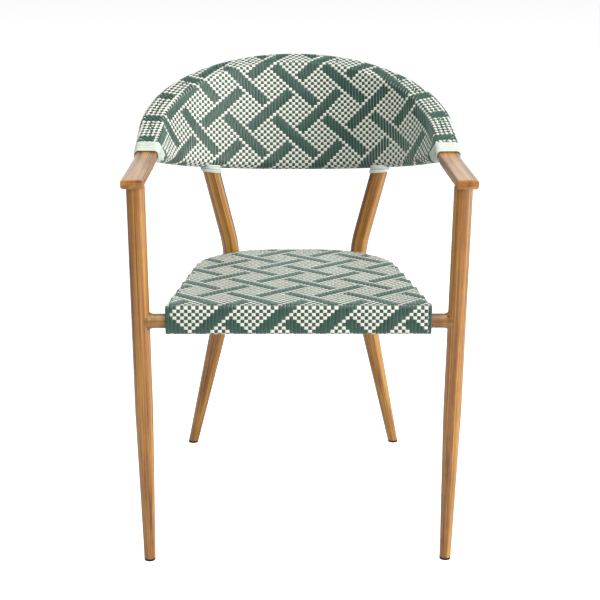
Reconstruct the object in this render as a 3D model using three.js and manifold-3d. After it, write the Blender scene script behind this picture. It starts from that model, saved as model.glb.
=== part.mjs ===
// Armchair with a tubular frame and a flat-strand woven seat and back.
// Millimetres, +Z up, the sitter faces -Y. Heights are above the floor, and
// "back" distances are behind the line through the tops of the front legs.

import * as THREE from "three";
import { mergeVertices } from "three/addons/utils/BufferGeometryUtils.js";
import Module from "manifold-3d";

const wasm = await Module();
wasm.setup();

// Arms and back hoop: one flat-oval bar
const armTopHeight = 663;
const armFrontHalfSpan = 263;
const armFrontSetout = 21;
const barWidth = 36;
const barThickness = 15;
const barCorner = 4.5;
const barWall = 1.6;
const hoopArcRadius = 254;
const hoopArcBack = 264;
const riseStartBack = 175;
const riseBendRadius = 150;
const riseDegrees = 18.8;
const endPlateThickness = 2.5;
const endPlugLength = 12;

// Lower rail of the back
const railDiameter = 22;
const railWall = 1.5;
const railArcRadius = 233;
const railArcBack = 236;
const railRearDrop = 71;
const railFallDegrees = 14.6;
const railSplayDegrees = 16;
const railTipBack = 198;

// Legs and glides
const legWall = 1.5;
const footDiameter = 19;
const frontLegDiameter = 30;
const frontTaperHeight = 270;
const frontLegTopHalfSpan = 259.2;
const frontFootHalfSpan = 251.6;
const frontFootSetout = 1.4;
const rearLegDiameter = 31;
const rearTaperHeight = 240;
const rearLegTopHalfSpan = 161;
const rearFootHalfSpan = 204.3;
const rearFootBack = 518.7;
const kneeHalfSpan = 115.4;
const kneeDrop = 46.6;
const kneeRadius = 200;
const glideHeight = 4;
const glideStemLength = 22;

// Seat frame and the weave over it
const seatFrontSetout = 14;
const seatFrontHeight = 456.6;
const seatFrontHalfWidth = 217;
const seatRearHalfWidth = 169;
const seatLength = 461;
const seatFallDegrees = 3.56;
const seatRearCorner = 150;
const seatFrontCorner = 8;
const apronHeight = 50;
const apronRounding = 7;
const seatRailWidth = 16;
const seatRailWall = 1.5;
const braceDiameter = 16;
const braceWall = 1.5;
const braceDrop = 30;
const frontBraceBack = 150;
const rearBraceSetin = 156;

// Stub tubes between the legs and the seat frame
const frontStubDiameter = 24;
const frontStubDrop = 30.6;
const stubWall = 2;
const weldRise = 5;
const weldLength = 8;
const rearStubDiameter = 20;
const rearStubDrop = 7.3;

// Weave and bindings
const weaveThickness = 2.8;
const weaveFrontBack = 214;
const weaveRailBack = 236;
const weaveSlack = 0.9;
const bindingSlack = 1.4;
const bindingGap = 1.4;
const strandWidth = 5.4;
const strandThickness = 2.2;
const strandPitch = 6.2;
const armBindingTurns = 6;
const legStrandWidth = 4.2;
const legStrandPitch = 4.9;
const legBindingGap = 0.4;
const legBindingTurns = 1.5;

// Fits
const clearance = 0.3;
const holeClearance = 0.5;
const overrun = 12;

// Facets and shares
const cornerFacets = 2;
const tubeFacets = 18;
const smallTubeFacets = 14;
const arcFacets = 22;
const bendFacets = 5;
const frontCornerFacets = 3;
const rearCornerFacets = 12;
const wrapSides = 18;
const sleeveStations = 30;
const tipCrowdingPower = 3.4;
const plateEdgeShare = 0.33;
const weldSideShare = 0.25;
const stubStartShare = 0.25;
const saddleShare = 0.95;
const bindingShares = [
  [-0.5, -0.1], [-0.28, -0.5], [0.28, -0.5], [0.5, -0.1], [0.36, 0.5], [-0.36, 0.5],
];

const riseAngle = THREE.MathUtils.degToRad(riseDegrees);
const railFall = Math.tan(THREE.MathUtils.degToRad(railFallDegrees));
const railSplay = THREE.MathUtils.degToRad(railSplayDegrees);
const vec = (x, y, z) => new THREE.Vector3(x, y, z);

// Finishes
const bambooPrint = { color: 0xb8813f, roughness: 0.45, metalness: 0.1 };
const bareAluminium = { color: 0xa9abad, roughness: 0.4, metalness: 0.9 };
const wovenStrand = { color: 0x5b8474, roughness: 0.5, metalness: 0 };
const whiteStrand = { color: 0xe9efe6, roughness: 0.45, metalness: 0 };
const blackPlastic = { color: 0x1d1d1d, roughness: 0.6, metalness: 0 };

// Solids

function toSolid(geometry) {
  const bare = geometry.clone();
  bare.deleteAttribute("normal");
  bare.deleteAttribute("uv");
  const merged = mergeVertices(bare);
  const vertProperties = new Float32Array(merged.attributes.position.array);
  const triVerts = new Uint32Array(merged.index.array);
  return new wasm.Manifold(new wasm.Mesh({ numProp: 3, vertProperties, triVerts }));
}

function toGeometry(solid) {
  const { vertProperties, triVerts } = solid.getMesh();
  const geometry = new THREE.BufferGeometry();
  geometry.setAttribute("position", new THREE.BufferAttribute(vertProperties, 3));
  geometry.setIndex(new THREE.BufferAttribute(triVerts, 1));
  geometry.computeVertexNormals();
  return geometry;
}

function fromRings(rings, faces) {
  const geometry = new THREE.BufferGeometry().setFromPoints(rings.flat());
  geometry.setIndex(faces);
  geometry.computeVertexNormals();
  return geometry;
}

// Side faces between neighbouring rings of equal count, facing away from the ring's middle
function sideFaces(ringCount, count, first, inward) {
  const faces = [];
  for (let r = 0; r + 1 < ringCount; r += 1) {
    for (let k = 0; k < count; k += 1) {
      const a = first + r * count + k;
      const b = first + r * count + (k + 1) % count;
      const corners = inward ? [a, b + count, b, a, a + count, b + count]
        : [a, b, b + count, a, b + count, a + count];
      faces.push(...corners);
    }
  }
  return faces;
}

// A solid body through convex rings
function loft(rings) {
  const count = rings[0].length;
  const faces = sideFaces(rings.length, count, 0, false);
  const last = (rings.length - 1) * count;
  for (let k = 1; k + 1 < count; k += 1) {
    faces.push(0, k + 1, k, last, last + k, last + k + 1);
  }
  return fromRings(rings, faces);
}

// An open-ended tube between outer and inner rings
function tubeLoft(outer, inner) {
  const count = outer[0].length;
  const shift = outer.length * count;
  const last = (outer.length - 1) * count;
  const faces = sideFaces(outer.length, count, 0, false);
  faces.push(...sideFaces(inner.length, count, shift, true));
  for (let k = 0; k < count; k += 1) {
    const next = (k + 1) % count;
    faces.push(k, shift + k, shift + next, k, shift + next, next);
    const [a, b, c, d] = [last + k, last + next, shift + last + k, shift + last + next];
    faces.push(a, d, c, a, b, d);
  }
  return fromRings([...outer, ...inner], faces);
}

// Sections, as flat points [across, up]

function roundedSection(width, height, corner) {
  const points = [];
  for (let quarter = 0; quarter < 4; quarter += 1) {
    const sx = quarter === 0 || quarter === 3 ? 1 : -1;
    const sy = quarter < 2 ? 1 : -1;
    for (let k = 0; k <= cornerFacets; k += 1) {
      const angle = (quarter + k / cornerFacets) * Math.PI / 2;
      const x = sx * (width / 2 - corner) + corner * Math.cos(angle);
      const y = sy * (height / 2 - corner) + corner * Math.sin(angle);
      points.push([x, y]);
    }
  }
  return points;
}

function ovalSection(across, up, facets) {
  return Array.from({ length: facets }, (_, k) => {
    const angle = 2 * Math.PI * k / facets;
    return [across * Math.cos(angle), up * Math.sin(angle)];
  });
}

const roundSection = (radius, facets) => ovalSection(radius, radius, facets);

// A round cutter's flats, not its corners, lie at the given radius
const cutterSection = (radius) => roundSection(radius / Math.cos(Math.PI / smallTubeFacets),
  smallTubeFacets);

function ringAt(frame, section) {
  return section.map(([x, y]) => frame.centre.clone()
    .addScaledVector(frame.across, x).addScaledVector(frame.up, y));
}

function frameAlong(centre, along, upHint) {
  const across = upHint.clone().cross(along).normalize();
  const up = along.clone().cross(across).normalize();
  return { centre, along: along.clone().normalize(), across, up };
}

// A bar of one section from one point to another, longer by the overrun at both ends
function barThrough(start, end, section) {
  const along = end.clone().sub(start).normalize();
  const hint = Math.abs(along.z) > Math.SQRT1_2 ? vec(0, 1, 0) : vec(0, 0, 1);
  const ends = [start.clone().addScaledVector(along, -overrun)];
  ends.push(end.clone().addScaledVector(along, overrun));
  return loft(ends.map((centre) => ringAt(frameAlong(centre, along, hint), section)));
}

// A slab of the whole floor area between two heights
function slab(low, high) {
  const reach = 2 * (rearFootBack + armFrontHalfSpan);
  const box = new THREE.BoxGeometry(reach, reach, high - low);
  return toSolid(box.translate(0, 0, (high + low) / 2));
}

// Everything beyond a plane, on the side that its normal points to
function beyond(point, normal) {
  const reach = armTopHeight;
  const box = new THREE.BoxGeometry(reach, reach, reach).translate(0, 0, reach / 2);
  const turn = new THREE.Quaternion().setFromUnitVectors(vec(0, 0, 1), normal);
  return toSolid(box.applyQuaternion(turn).translate(point.x, point.y, point.z));
}

// Hoop: plan is an arc at the back with straight, slightly splayed arms

const armReach = Math.hypot(armFrontHalfSpan, hoopArcBack + armFrontSetout);
const armSplay = Math.acos(hoopArcRadius / armReach)
  - Math.atan2(hoopArcBack + armFrontSetout, armFrontHalfSpan);
const hoopArcLength = hoopArcRadius * (Math.PI / 2 - armSplay);
const hoopTangentBack = hoopArcBack + hoopArcRadius * Math.sin(armSplay);
const hoopLengthTo = (back) => hoopArcLength + (hoopTangentBack - back) / Math.cos(armSplay);
const riseRunUp = riseBendRadius * Math.tan(riseAngle / 2);

function riseAt(back) {
  const run = back - riseStartBack + riseRunUp;
  if (run <= 0) return { height: 0, slope: 0 };
  if (run < riseBendRadius * Math.sin(riseAngle)) {
    const slope = Math.asin(run / riseBendRadius);
    return { height: riseBendRadius * (1 - Math.cos(slope)), slope };
  }
  return { height: Math.tan(riseAngle) * (back - riseStartBack), slope: riseAngle };
}

// Frame of the bar's middle, at a length along its plan from the rear centre
function hoopFrame(length) {
  const side = Math.sign(length) || 1;
  const turned = Math.min(Math.abs(length), hoopArcLength) / hoopArcRadius;
  const straight = Math.max(Math.abs(length) - hoopArcLength, 0);
  const x = hoopArcRadius * Math.sin(turned) + straight * Math.cos(turned);
  const y = hoopArcBack + hoopArcRadius * Math.cos(turned) - straight * Math.sin(turned);
  const rise = riseAt(y);
  const up = vec(0, -Math.sin(rise.slope), Math.cos(rise.slope));
  const alongY = -Math.sin(turned) * side;
  const along = vec(Math.cos(turned), alongY, alongY * Math.tan(rise.slope)).normalize();
  const centre = vec(side * x, y, armTopHeight + rise.height)
    .addScaledVector(up, -barThickness / 2);
  return { centre, along, up, across: up.clone().cross(along) };
}

const barEndLength = hoopLengthTo(-armFrontSetout + endPlateThickness + clearance);

function hoopLengths() {
  const bendStart = hoopLengthTo(riseStartBack - riseRunUp);
  const bendEnd = hoopLengthTo(riseStartBack + riseBendRadius * Math.sin(riseAngle) - riseRunUp);
  const half = [barEndLength, bendStart];
  for (let k = 1; k < bendFacets; k += 1) {
    half.push(bendStart + (bendEnd - bendStart) * k / bendFacets);
  }
  half.push(bendEnd);
  for (let k = arcFacets / 2; k > 0; k -= 1) half.push(hoopArcLength * k * 2 / arcFacets);
  return [...half.map((length) => -length), 0, ...half.reverse()];
}

function armAndBackHoop() {
  const frames = hoopLengths().map(hoopFrame);
  const outer = roundedSection(barWidth, barThickness, barCorner);
  const bore = roundedSection(barWidth - 2 * barWall, barThickness - 2 * barWall,
    barCorner - barWall);
  return tubeLoft(frames.map((frame) => ringAt(frame, outer)),
    frames.map((frame) => ringAt(frame, bore)));
}

// The plate closes the bar's front end and has a plug in its bore
function armEndPlate(side) {
  const section = (inset) => roundedSection(barWidth - 2 * inset,
    barThickness - 2 * inset, Math.max(barCorner - inset, barWall));
  const edge = endPlateThickness * plateEdgeShare;
  const plugInset = barWall + clearance;
  const stations = [
    [barEndLength - endPlugLength, plugInset],
    [barEndLength + clearance, plugInset],
    [barEndLength + clearance, 0],
    [barEndLength + clearance + endPlateThickness - edge, 0],
    [barEndLength + clearance + endPlateThickness, edge],
  ];
  const ordered = side > 0 ? stations : stations.reverse();
  return loft(ordered.map(([length, inset]) => ringAt(hoopFrame(side * length), section(inset))));
}

// Lower rail: plan is an arc with straight ends that splay out under the hoop

const railArcLength = railArcRadius * (Math.PI / 2 - railSplay);
const railTangentBack = railArcBack + railArcRadius * Math.sin(railSplay);
const railLengthTo = (back) => railArcLength + (railTangentBack - back) / Math.cos(railSplay);
const railHeightAt = (back) => armTopHeight - railRearDrop
  + railFall * (railArcBack + railArcRadius - back);

function railFrame(length) {
  const side = Math.sign(length) || 1;
  const turned = Math.min(Math.abs(length), railArcLength) / railArcRadius;
  const straight = Math.max(Math.abs(length) - railArcLength, 0);
  const x = railArcRadius * Math.sin(turned) + straight * Math.cos(turned);
  const y = railArcBack + railArcRadius * Math.cos(turned) - straight * Math.sin(turned);
  const alongY = -Math.sin(turned) * side;
  const along = vec(Math.cos(turned), alongY, -alongY * railFall);
  return frameAlong(vec(side * x, y, railHeightAt(y)), along, vec(0, 0, 1));
}

function railFrames() {
  const half = [railLengthTo(railTipBack)];
  for (let k = arcFacets / 2; k > 0; k -= 1) half.push(railArcLength * k * 2 / arcFacets);
  return [...half.map((length) => -length), 0, ...half.reverse()].map(railFrame);
}

function railCutter(radius) {
  return toSolid(loft(railFrames().map((frame) => ringAt(frame, cutterSection(radius)))));
}

function backLowerRail() {
  const outer = roundSection(railDiameter / 2, smallTubeFacets);
  const bore = roundSection(railDiameter / 2 - railWall, smallTubeFacets);
  const frames = railFrames();
  const tube = tubeLoft(frames.map((frame) => ringAt(frame, outer)),
    frames.map((frame) => ringAt(frame, bore)));
  return toGeometry(toSolid(tube).subtract(aboveHoopUnderside()));
}

// What is welded under the bar is cut off along the bar's underside
function aboveHoopUnderside() {
  const height = barThickness + railDiameter;
  const lift = (height - barThickness) / 2 - clearance;
  const section = roundedSection(barWidth + railDiameter, height, barWall)
    .map(([x, y]) => [x, y + lift]);
  return toSolid(loft(hoopLengths().map((length) => ringAt(hoopFrame(length), section))));
}

// Front legs

const armAxisHeight = armTopHeight - barThickness / 2;
const frontFoot = (side) => vec(side * frontFootHalfSpan, -frontFootSetout, 0);
const frontLegTop = (side) => vec(side * frontLegTopHalfSpan, 0, armAxisHeight);

function onFrontLeg(side, height) {
  return frontFoot(side).lerp(frontLegTop(side), height / armAxisHeight);
}

// One side of a tube that widens from its foot up to the taper's end
function taperedProfile(length, footRadius, radius) {
  return [[footRadius, 0], [radius, frontTaperHeight], [radius, length]];
}

function frontLegLathe(points) {
  const profile = points.map(([radius, height]) => new THREE.Vector2(radius, height));
  return new THREE.LatheGeometry(profile, tubeFacets).rotateX(Math.PI / 2);
}

function standOn(geometry, foot, top) {
  const along = top.clone().sub(foot).normalize();
  const turn = new THREE.Quaternion().setFromUnitVectors(vec(0, 0, 1), along);
  return geometry.applyQuaternion(turn).translate(foot.x, foot.y, foot.z);
}

function frontLeg(side) {
  const length = frontFoot(side).distanceTo(frontLegTop(side));
  const foot = footDiameter / 2;
  const radius = frontLegDiameter / 2;
  const outer = taperedProfile(length, foot, radius);
  const bore = taperedProfile(length, foot - legWall, radius - legWall);
  const lathe = frontLegLathe([...outer, ...bore.reverse(), outer[0]]);
  const tube = toSolid(standOn(lathe, frontFoot(side), frontLegTop(side)));
  const top = armTopHeight - barThickness - clearance;
  return toGeometry(tube.intersect(slab(glideHeight + clearance, top)));
}

// Rear legs: straight from the foot, one bend under the seat, straight to the lower rail

function rearLegTop(side) {
  const back = railArcBack + Math.sqrt(railArcRadius ** 2 - rearLegTopHalfSpan ** 2);
  return vec(side * rearLegTopHalfSpan, back, railHeightAt(back));
}

const kneeHeight = seatFrontHeight - kneeDrop;
const rearFoot = (side) => vec(side * rearFootHalfSpan, rearFootBack, 0);

function rearKnee(side) {
  const top = rearLegTop(side);
  const back = THREE.MathUtils.lerp(rearFootBack, top.y, kneeHeight / top.z);
  return vec(side * kneeHalfSpan, back, kneeHeight);
}

// Centres and directions up the rear leg, with its first and last points at the given places
function rearLegPath(side) {
  const foot = rearFoot(side);
  const knee = rearKnee(side);
  const top = rearLegTop(side);
  const down = foot.clone().sub(knee).normalize();
  const up = top.clone().sub(knee).normalize();
  const half = down.angleTo(up) / 2;
  const run = kneeRadius / Math.tan(half);
  const inward = down.clone().add(up).normalize();
  const middle = knee.clone().addScaledVector(inward, kneeRadius / Math.sin(half));
  const start = knee.clone().addScaledVector(down, run).sub(middle);
  const end = knee.clone().addScaledVector(up, run).sub(middle);
  const turn = start.angleTo(end);
  const axis = start.clone().cross(end).normalize();
  const bend = [];
  for (let k = 0; k <= bendFacets; k += 1) {
    const angle = turn * k / bendFacets;
    const spoke = start.clone().applyAxisAngle(axis, angle);
    const along = axis.clone().cross(spoke).normalize();
    bend.push({ centre: middle.clone().add(spoke), along });
  }
  const taper = foot.clone().addScaledVector(down, -rearTaperHeight / Math.abs(down.z));
  const first = { centre: foot, along: down.clone().negate() };
  return [first, { centre: taper, along: first.along }, ...bend, { centre: top, along: up }];
}

function rearLegRings(side, grow) {
  const hint = vec(0, 1, 0);
  return rearLegPath(side).map(({ centre, along }, index) => {
    const diameter = index === 0 ? footDiameter : rearLegDiameter;
    return ringAt(frameAlong(centre, along, hint), roundSection(diameter / 2 + grow, tubeFacets));
  });
}

// Where the leg meets the lower rail: the leg's direction, and that direction square to the rail
function rearLegSeat(side) {
  const { centre, along } = rearLegPath(side).at(-1);
  const turned = Math.asin(rearLegTopHalfSpan / railArcRadius);
  const rail = railFrame(side * railArcRadius * turned);
  const square = along.clone().addScaledVector(rail.along, -along.dot(rail.along)).normalize();
  return { centre, along, square };
}

function rearLegHollow(side, depth) {
  const { centre, square } = rearLegSeat(side);
  return beyond(centre.addScaledVector(square, -depth), square);
}

function rearLeg(side) {
  const tube = toSolid(tubeLoft(rearLegRings(side, 0), rearLegRings(side, -legWall)));
  const above = slab(glideHeight + clearance, armTopHeight);
  const saddle = railCutter(railDiameter / 2 + clearance);
  const end = rearLegHollow(side, saddleShare * railDiameter / 2);
  return toGeometry(tube.intersect(above).subtract(end).subtract(saddle));
}

// Glides: a black disc under the tube, with a stem in its bore
function glide(foot, above) {
  const discSection = roundSection(footDiameter / 2, smallTubeFacets);
  const stemSection = roundSection(footDiameter / 2 - legWall - clearance, smallTubeFacets);
  const disc = toSolid(barThrough(foot, above, discSection)).intersect(slab(0, glideHeight));
  const stemTop = glideHeight + glideStemLength;
  const stem = toSolid(barThrough(foot, above, stemSection));
  return toGeometry(disc.add(stem.intersect(slab(glideHeight / 2, stemTop))));
}

// Seat, in its own frame: x across, y back along the slope, z up from the top of the weave

const seat = new THREE.Group();
seat.position.set(0, -seatFrontSetout, seatFrontHeight);
seat.rotation.x = -THREE.MathUtils.degToRad(seatFallDegrees);
seat.updateMatrix();
const toSeat = seat.matrix.clone().invert();
const sideLean = (seatFrontHalfWidth - seatRearHalfWidth) / seatLength;

const seatHalfWidthAt = (back, inset) => seatFrontHalfWidth - sideLean * back
  - inset * Math.hypot(1, sideLean);

// A closed outline with an arc of its own radius at each corner
function roundedOutline(corners) {
  const points = [];
  corners.forEach(([point, radius, facets], index) => {
    const before = corners.at(index - 1)[0].clone().sub(point).normalize();
    const after = corners[(index + 1) % corners.length][0].clone().sub(point).normalize();
    const half = Math.acos(before.dot(after)) / 2;
    const toMiddle = before.clone().add(after).normalize();
    const middle = point.clone().addScaledVector(toMiddle, radius / Math.sin(half));
    const start = Math.atan2(-toMiddle.y, -toMiddle.x) - (Math.PI / 2 - half);
    for (let k = 0; k <= facets; k += 1) {
      const angle = start + (Math.PI - 2 * half) * k / facets;
      points.push(new THREE.Vector2(Math.cos(angle), Math.sin(angle))
        .multiplyScalar(radius).add(middle));
    }
  });
  return new THREE.Shape(points);
}

function seatOutline(inset) {
  const front = seatHalfWidthAt(inset, inset);
  const rear = seatHalfWidthAt(seatLength - inset, inset);
  const frontRadius = Math.max(seatFrontCorner - inset, seatRailWall);
  const rearRadius = seatRearCorner - inset;
  return roundedOutline([
    [new THREE.Vector2(-front, inset), frontRadius, frontCornerFacets],
    [new THREE.Vector2(front, inset), frontRadius, frontCornerFacets],
    [new THREE.Vector2(rear, seatLength - inset), rearRadius, rearCornerFacets],
    [new THREE.Vector2(-rear, seatLength - inset), rearRadius, rearCornerFacets],
  ]);
}

// The outline between two depths under the top, with rounded edges, and a hole if one is given
function seatSlab(inset, top, bottom, rounding, holeInset) {
  const shape = seatOutline(inset);
  if (holeInset) shape.holes.push(seatOutline(holeInset));
  const options = { depth: bottom - top, bevelEnabled: false };
  if (rounding > 0) {
    options.depth -= 2 * rounding;
    options.bevelEnabled = true;
    options.bevelThickness = rounding;
    options.bevelSize = rounding;
    options.bevelOffset = -rounding;
    options.bevelSegments = cornerFacets;
  }
  const body = new THREE.ExtrudeGeometry(shape, options);
  return toSolid(body.translate(0, 0, rounding - bottom));
}

const railInset = weaveThickness + clearance;
const railRounding = apronRounding - railInset;
const railInnerInset = railInset + seatRailWidth;

function seatRing(grow) {
  return seatSlab(railInset - grow, railInset - grow, apronHeight - railInset + grow,
    railRounding, railInnerInset + grow);
}

const frontRailHalfLength = seatHalfWidthAt(railInnerInset, railInnerInset);
const stubReach = seatRailWidth / 2 + railInset;

function seatSideAndRearRail() {
  const boreInset = railInset + seatRailWall;
  const bore = seatSlab(boreInset, boreInset, apronHeight - boreInset, 0,
    railInnerInset - seatRailWall);
  const gapDepth = railInnerInset + clearance;
  const gap = new THREE.BoxGeometry(2 * frontRailHalfLength, 2 * gapDepth, 2 * apronHeight);
  return toGeometry(seatRing(0).subtract(bore).subtract(toSolid(gap)));
}

function seatFrontRail() {
  const height = apronHeight - 2 * railInset;
  const frames = [-1, 1].map((side) => {
    const x = side * (frontRailHalfLength - clearance);
    const centre = vec(x, railInset + seatRailWidth / 2, -apronHeight / 2);
    return frameAlong(centre, vec(1, 0, 0), vec(0, 0, 1));
  });
  const outer = roundedSection(seatRailWidth, height, railRounding);
  const bore = roundedSection(seatRailWidth - 2 * seatRailWall, height - 2 * seatRailWall,
    railRounding - seatRailWall);
  return tubeLoft(frames.map((frame) => ringAt(frame, outer)),
    frames.map((frame) => ringAt(frame, bore)));
}

function seatBrace(back) {
  const reach = seatHalfWidthAt(back, stubReach);
  const frames = [-reach, reach].map((x) => frameAlong(vec(x, back, -braceDrop),
    vec(1, 0, 0), vec(0, 0, 1)));
  const ringsOf = (radius) => frames.map((frame) => ringAt(frame,
    roundSection(radius, smallTubeFacets)));
  const tube = tubeLoft(ringsOf(braceDiameter / 2), ringsOf(braceDiameter / 2 - braceWall));
  return toGeometry(toSolid(tube).subtract(seatRing(clearance)));
}

// Stubs, in the chair's frame

const frontStubStart = (side) => onFrontLeg(side, seatFrontHeight - frontStubDrop);

// The stub runs level from the leg towards the middle of the seat's rear corner
function rearStubLine(side) {
  const cornerMiddle = vec(side * (seatHalfWidthAt(seatLength, seatRearCorner)
    + sideLean * seatRearCorner), seatLength - seatRearCorner, -apronHeight / 2);
  const target = cornerMiddle.applyMatrix4(seat.matrix);
  target.z -= rearStubDrop;
  const path = rearLegPath(side);
  const above = path.findIndex(({ centre }) => centre.z > target.z);
  const [low, high] = [path[above - 1].centre, path[above].centre];
  const start = low.clone().lerp(high, (target.z - low.z) / (high.z - low.z));
  return { start, direction: target.sub(start).normalize() };
}

function ringInChair(grow) {
  return toSolid(toGeometry(seatRing(grow)).applyMatrix4(seat.matrix));
}

// The weld swells up and down at the leg, and less across it
function frontStub(side) {
  const start = frontStubStart(side);
  const radius = frontStubDiameter / 2;
  const legRadius = frontLegDiameter / 2;
  const end = start.x * side - seatHalfWidthAt(seatFrontSetout, stubReach);
  const weldSide = weldRise * weldSideShare;
  const stations = [[legRadius * stubStartShare, 1]];
  for (let k = 0; k <= bendFacets; k += 1) {
    const run = k / bendFacets;
    const swell = 1 - Math.sqrt(1 - (1 - run) ** 2);
    stations.push([legRadius - weldSide + run * weldLength, swell]);
  }
  stations.push([end, 0]);
  const rings = (make) => stations.map(([reach, swell]) => {
    const centre = start.clone().add(vec(-side * reach, 0, 0));
    return ringAt(frameAlong(centre, vec(-side, 0, 0), vec(0, 0, 1)), make(swell));
  });
  const outer = rings((swell) => ovalSection(radius + weldSide * swell,
    radius + weldRise * swell, smallTubeFacets));
  const bore = rings(() => roundSection(radius - stubWall, smallTubeFacets));
  const leg = toSolid(barThrough(frontFoot(side), frontLegTop(side),
    cutterSection(legRadius + clearance)));
  return toGeometry(toSolid(tubeLoft(outer, bore)).subtract(leg)
    .subtract(ringInChair(clearance)));
}

function rearStub(side) {
  const { start, direction } = rearStubLine(side);
  const frames = [0, rearLegDiameter / 2 + stubReach + weaveThickness + railInset].map((reach) => (
    frameAlong(start.clone().addScaledVector(direction, reach), direction, vec(0, 0, 1))));
  const ringsOf = (radius) => frames.map((frame) => ringAt(frame,
    roundSection(radius, smallTubeFacets)));
  const radius = rearStubDiameter / 2;
  const tube = toSolid(tubeLoft(ringsOf(radius), ringsOf(radius - stubWall)));
  const leg = toSolid(loft(rearLegRings(side, clearance)));
  return toGeometry(tube.subtract(leg).subtract(ringInChair(clearance)));
}

// Woven seat: a skin over the frame, turned under the rails
function wovenSeat() {
  const skin = seatSlab(0, 0, apronHeight, apronRounding);
  const cavity = seatSlab(weaveThickness, weaveThickness, apronHeight - weaveThickness,
    apronRounding - weaveThickness);
  const opening = seatSlab(railInnerInset, weaveThickness, apronHeight + overrun, 0);
  let solid = skin.subtract(cavity).subtract(opening);
  for (const side of [-1, 1]) {
    const start = frontStubStart(side);
    const inner = start.clone().setX(side * seatHalfWidthAt(seatFrontSetout, stubReach + overrun));
    const rear = rearStubLine(side);
    const rearInner = rear.start.clone()
      .addScaledVector(rear.direction, rearLegDiameter / 2 + stubReach);
    const front = barThrough(start, inner, cutterSection(frontStubDiameter / 2 + holeClearance));
    const back = barThrough(rear.start, rearInner,
      cutterSection(rearStubDiameter / 2 + holeClearance));
    solid = solid.subtract(toSolid(front.applyMatrix4(toSeat)));
    solid = solid.subtract(toSolid(back.applyMatrix4(toSeat)));
  }
  return toGeometry(solid);
}

// Wraps: the outline that a strand takes round the bar and the lower rail together

// The rail's middle never counts as higher than the bar's underside, where its tip is cut off
function railUnder(frame, railLength) {
  const rail = railFrame(railLength);
  const lift = rail.centre.clone().sub(frame.centre).dot(frame.up) + barThickness / 2;
  rail.centre.addScaledVector(frame.up, -Math.max(lift, 0));
  return rail;
}

// The point of the wrap that lies farthest out in one direction
function wrapPoint(frame, rail, offset, angle) {
  const [dx, dy] = [Math.cos(angle), Math.sin(angle)];
  const outward = frame.across.clone().multiplyScalar(dx).addScaledVector(frame.up, dy);
  const corner = frame.centre.clone()
    .addScaledVector(frame.across, Math.sign(dx) * (barWidth / 2 - barCorner))
    .addScaledVector(frame.up, Math.sign(dy) * (barThickness / 2 - barCorner))
    .addScaledVector(outward, barCorner + offset);
  const spoke = outward.clone().addScaledVector(rail.along, -outward.dot(rail.along)).normalize();
  const tangent = rail.centre.clone().addScaledVector(spoke, railDiameter / 2 + offset);
  return tangent.clone().sub(corner).dot(outward) > 0 ? tangent : corner;
}

const sleeveHalf = hoopLengthTo(weaveFrontBack);
const sleeveRailHalf = railLengthTo(weaveRailBack);

// The strands stand side by side at the middle and crowd together at the rail's tips
function railLengthFor(share) {
  const length = sleeveHalf * Math.abs(share)
    - (sleeveHalf - sleeveRailHalf) * Math.abs(share) ** tipCrowdingPower;
  return Math.sign(share) * length;
}

function sleeveRings(offset) {
  const rings = [];
  for (let station = 0; station <= sleeveStations; station += 1) {
    const share = 2 * station / sleeveStations - 1;
    const frame = hoopFrame(sleeveHalf * share);
    const rail = railUnder(frame, railLengthFor(share));
    const ring = [];
    for (let k = 0; k < wrapSides; k += 1) {
      const angle = 2 * Math.PI * (k + 1 / 2) / wrapSides;
      ring.push(wrapPoint(frame, rail, offset, angle));
    }
    rings.push(ring);
  }
  return rings;
}

function wovenBack() {
  const skin = tubeLoft(sleeveRings(weaveSlack + weaveThickness), sleeveRings(weaveSlack));
  let solid = toSolid(skin);
  for (const side of [-1, 1]) {
    const leg = toSolid(loft(rearLegRings(side, holeClearance)));
    const end = rearLegHollow(side, saddleShare * railDiameter / 2 - holeClearance);
    solid = solid.subtract(leg.subtract(end));
  }
  return toGeometry(solid);
}

// Windings: one flat strand, turn beside turn

function windingRings(points, outward, width) {
  return points.map((centre, index) => {
    const before = points[Math.max(index - 1, 0)];
    const after = points[Math.min(index + 1, points.length - 1)];
    const frame = frameAlong(centre, after.clone().sub(before), outward[index]);
    return ringAt(frame, bindingShares.map(([x, y]) => [x * width, y * strandThickness]));
  });
}

function reportLeastGap(name, rings) {
  let least = Infinity;
  for (let a = 0; a < rings.length; a += 1) {
    for (let b = a + Math.ceil(wrapSides / 2); b < rings.length; b += 1) {
      for (const p of rings[a]) {
        for (const q of rings[b]) least = Math.min(least, p.distanceTo(q));
      }
    }
  }
  console.log(`${name}: least gap between turns ${least.toFixed(2)} mm`);
}

// The hoop's binding leans back under the bar, where it takes in the tip of the lower rail
function armBinding(side) {
  const points = [];
  const outward = [];
  const steps = armBindingTurns * wrapSides;
  const offset = bindingSlack + strandThickness / 2;
  const hoopGap = sleeveHalf + bindingGap + strandWidth / 2;
  const railGap = sleeveRailHalf + bindingGap + strandWidth / 2;
  const railSpan = (railLengthTo(railTipBack) - railGap) / (armBindingTurns * strandPitch);
  for (let step = 0; step <= steps; step += 1) {
    const angle = 2 * Math.PI * (step + 1 / 2) / wrapSides;
    const travel = strandPitch * step / wrapSides;
    const frame = hoopFrame(side * (hoopGap + travel));
    const rail = railUnder(frame, side * (railGap + travel * railSpan));
    points.push(wrapPoint(frame, rail, offset, angle));
    outward.push(frame.across.clone().multiplyScalar(Math.cos(angle))
      .addScaledVector(frame.up, Math.sin(angle)));
  }
  const rings = windingRings(points, outward, strandWidth);
  reportLeastGap("arm binding", rings);
  return loft(rings);
}

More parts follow.
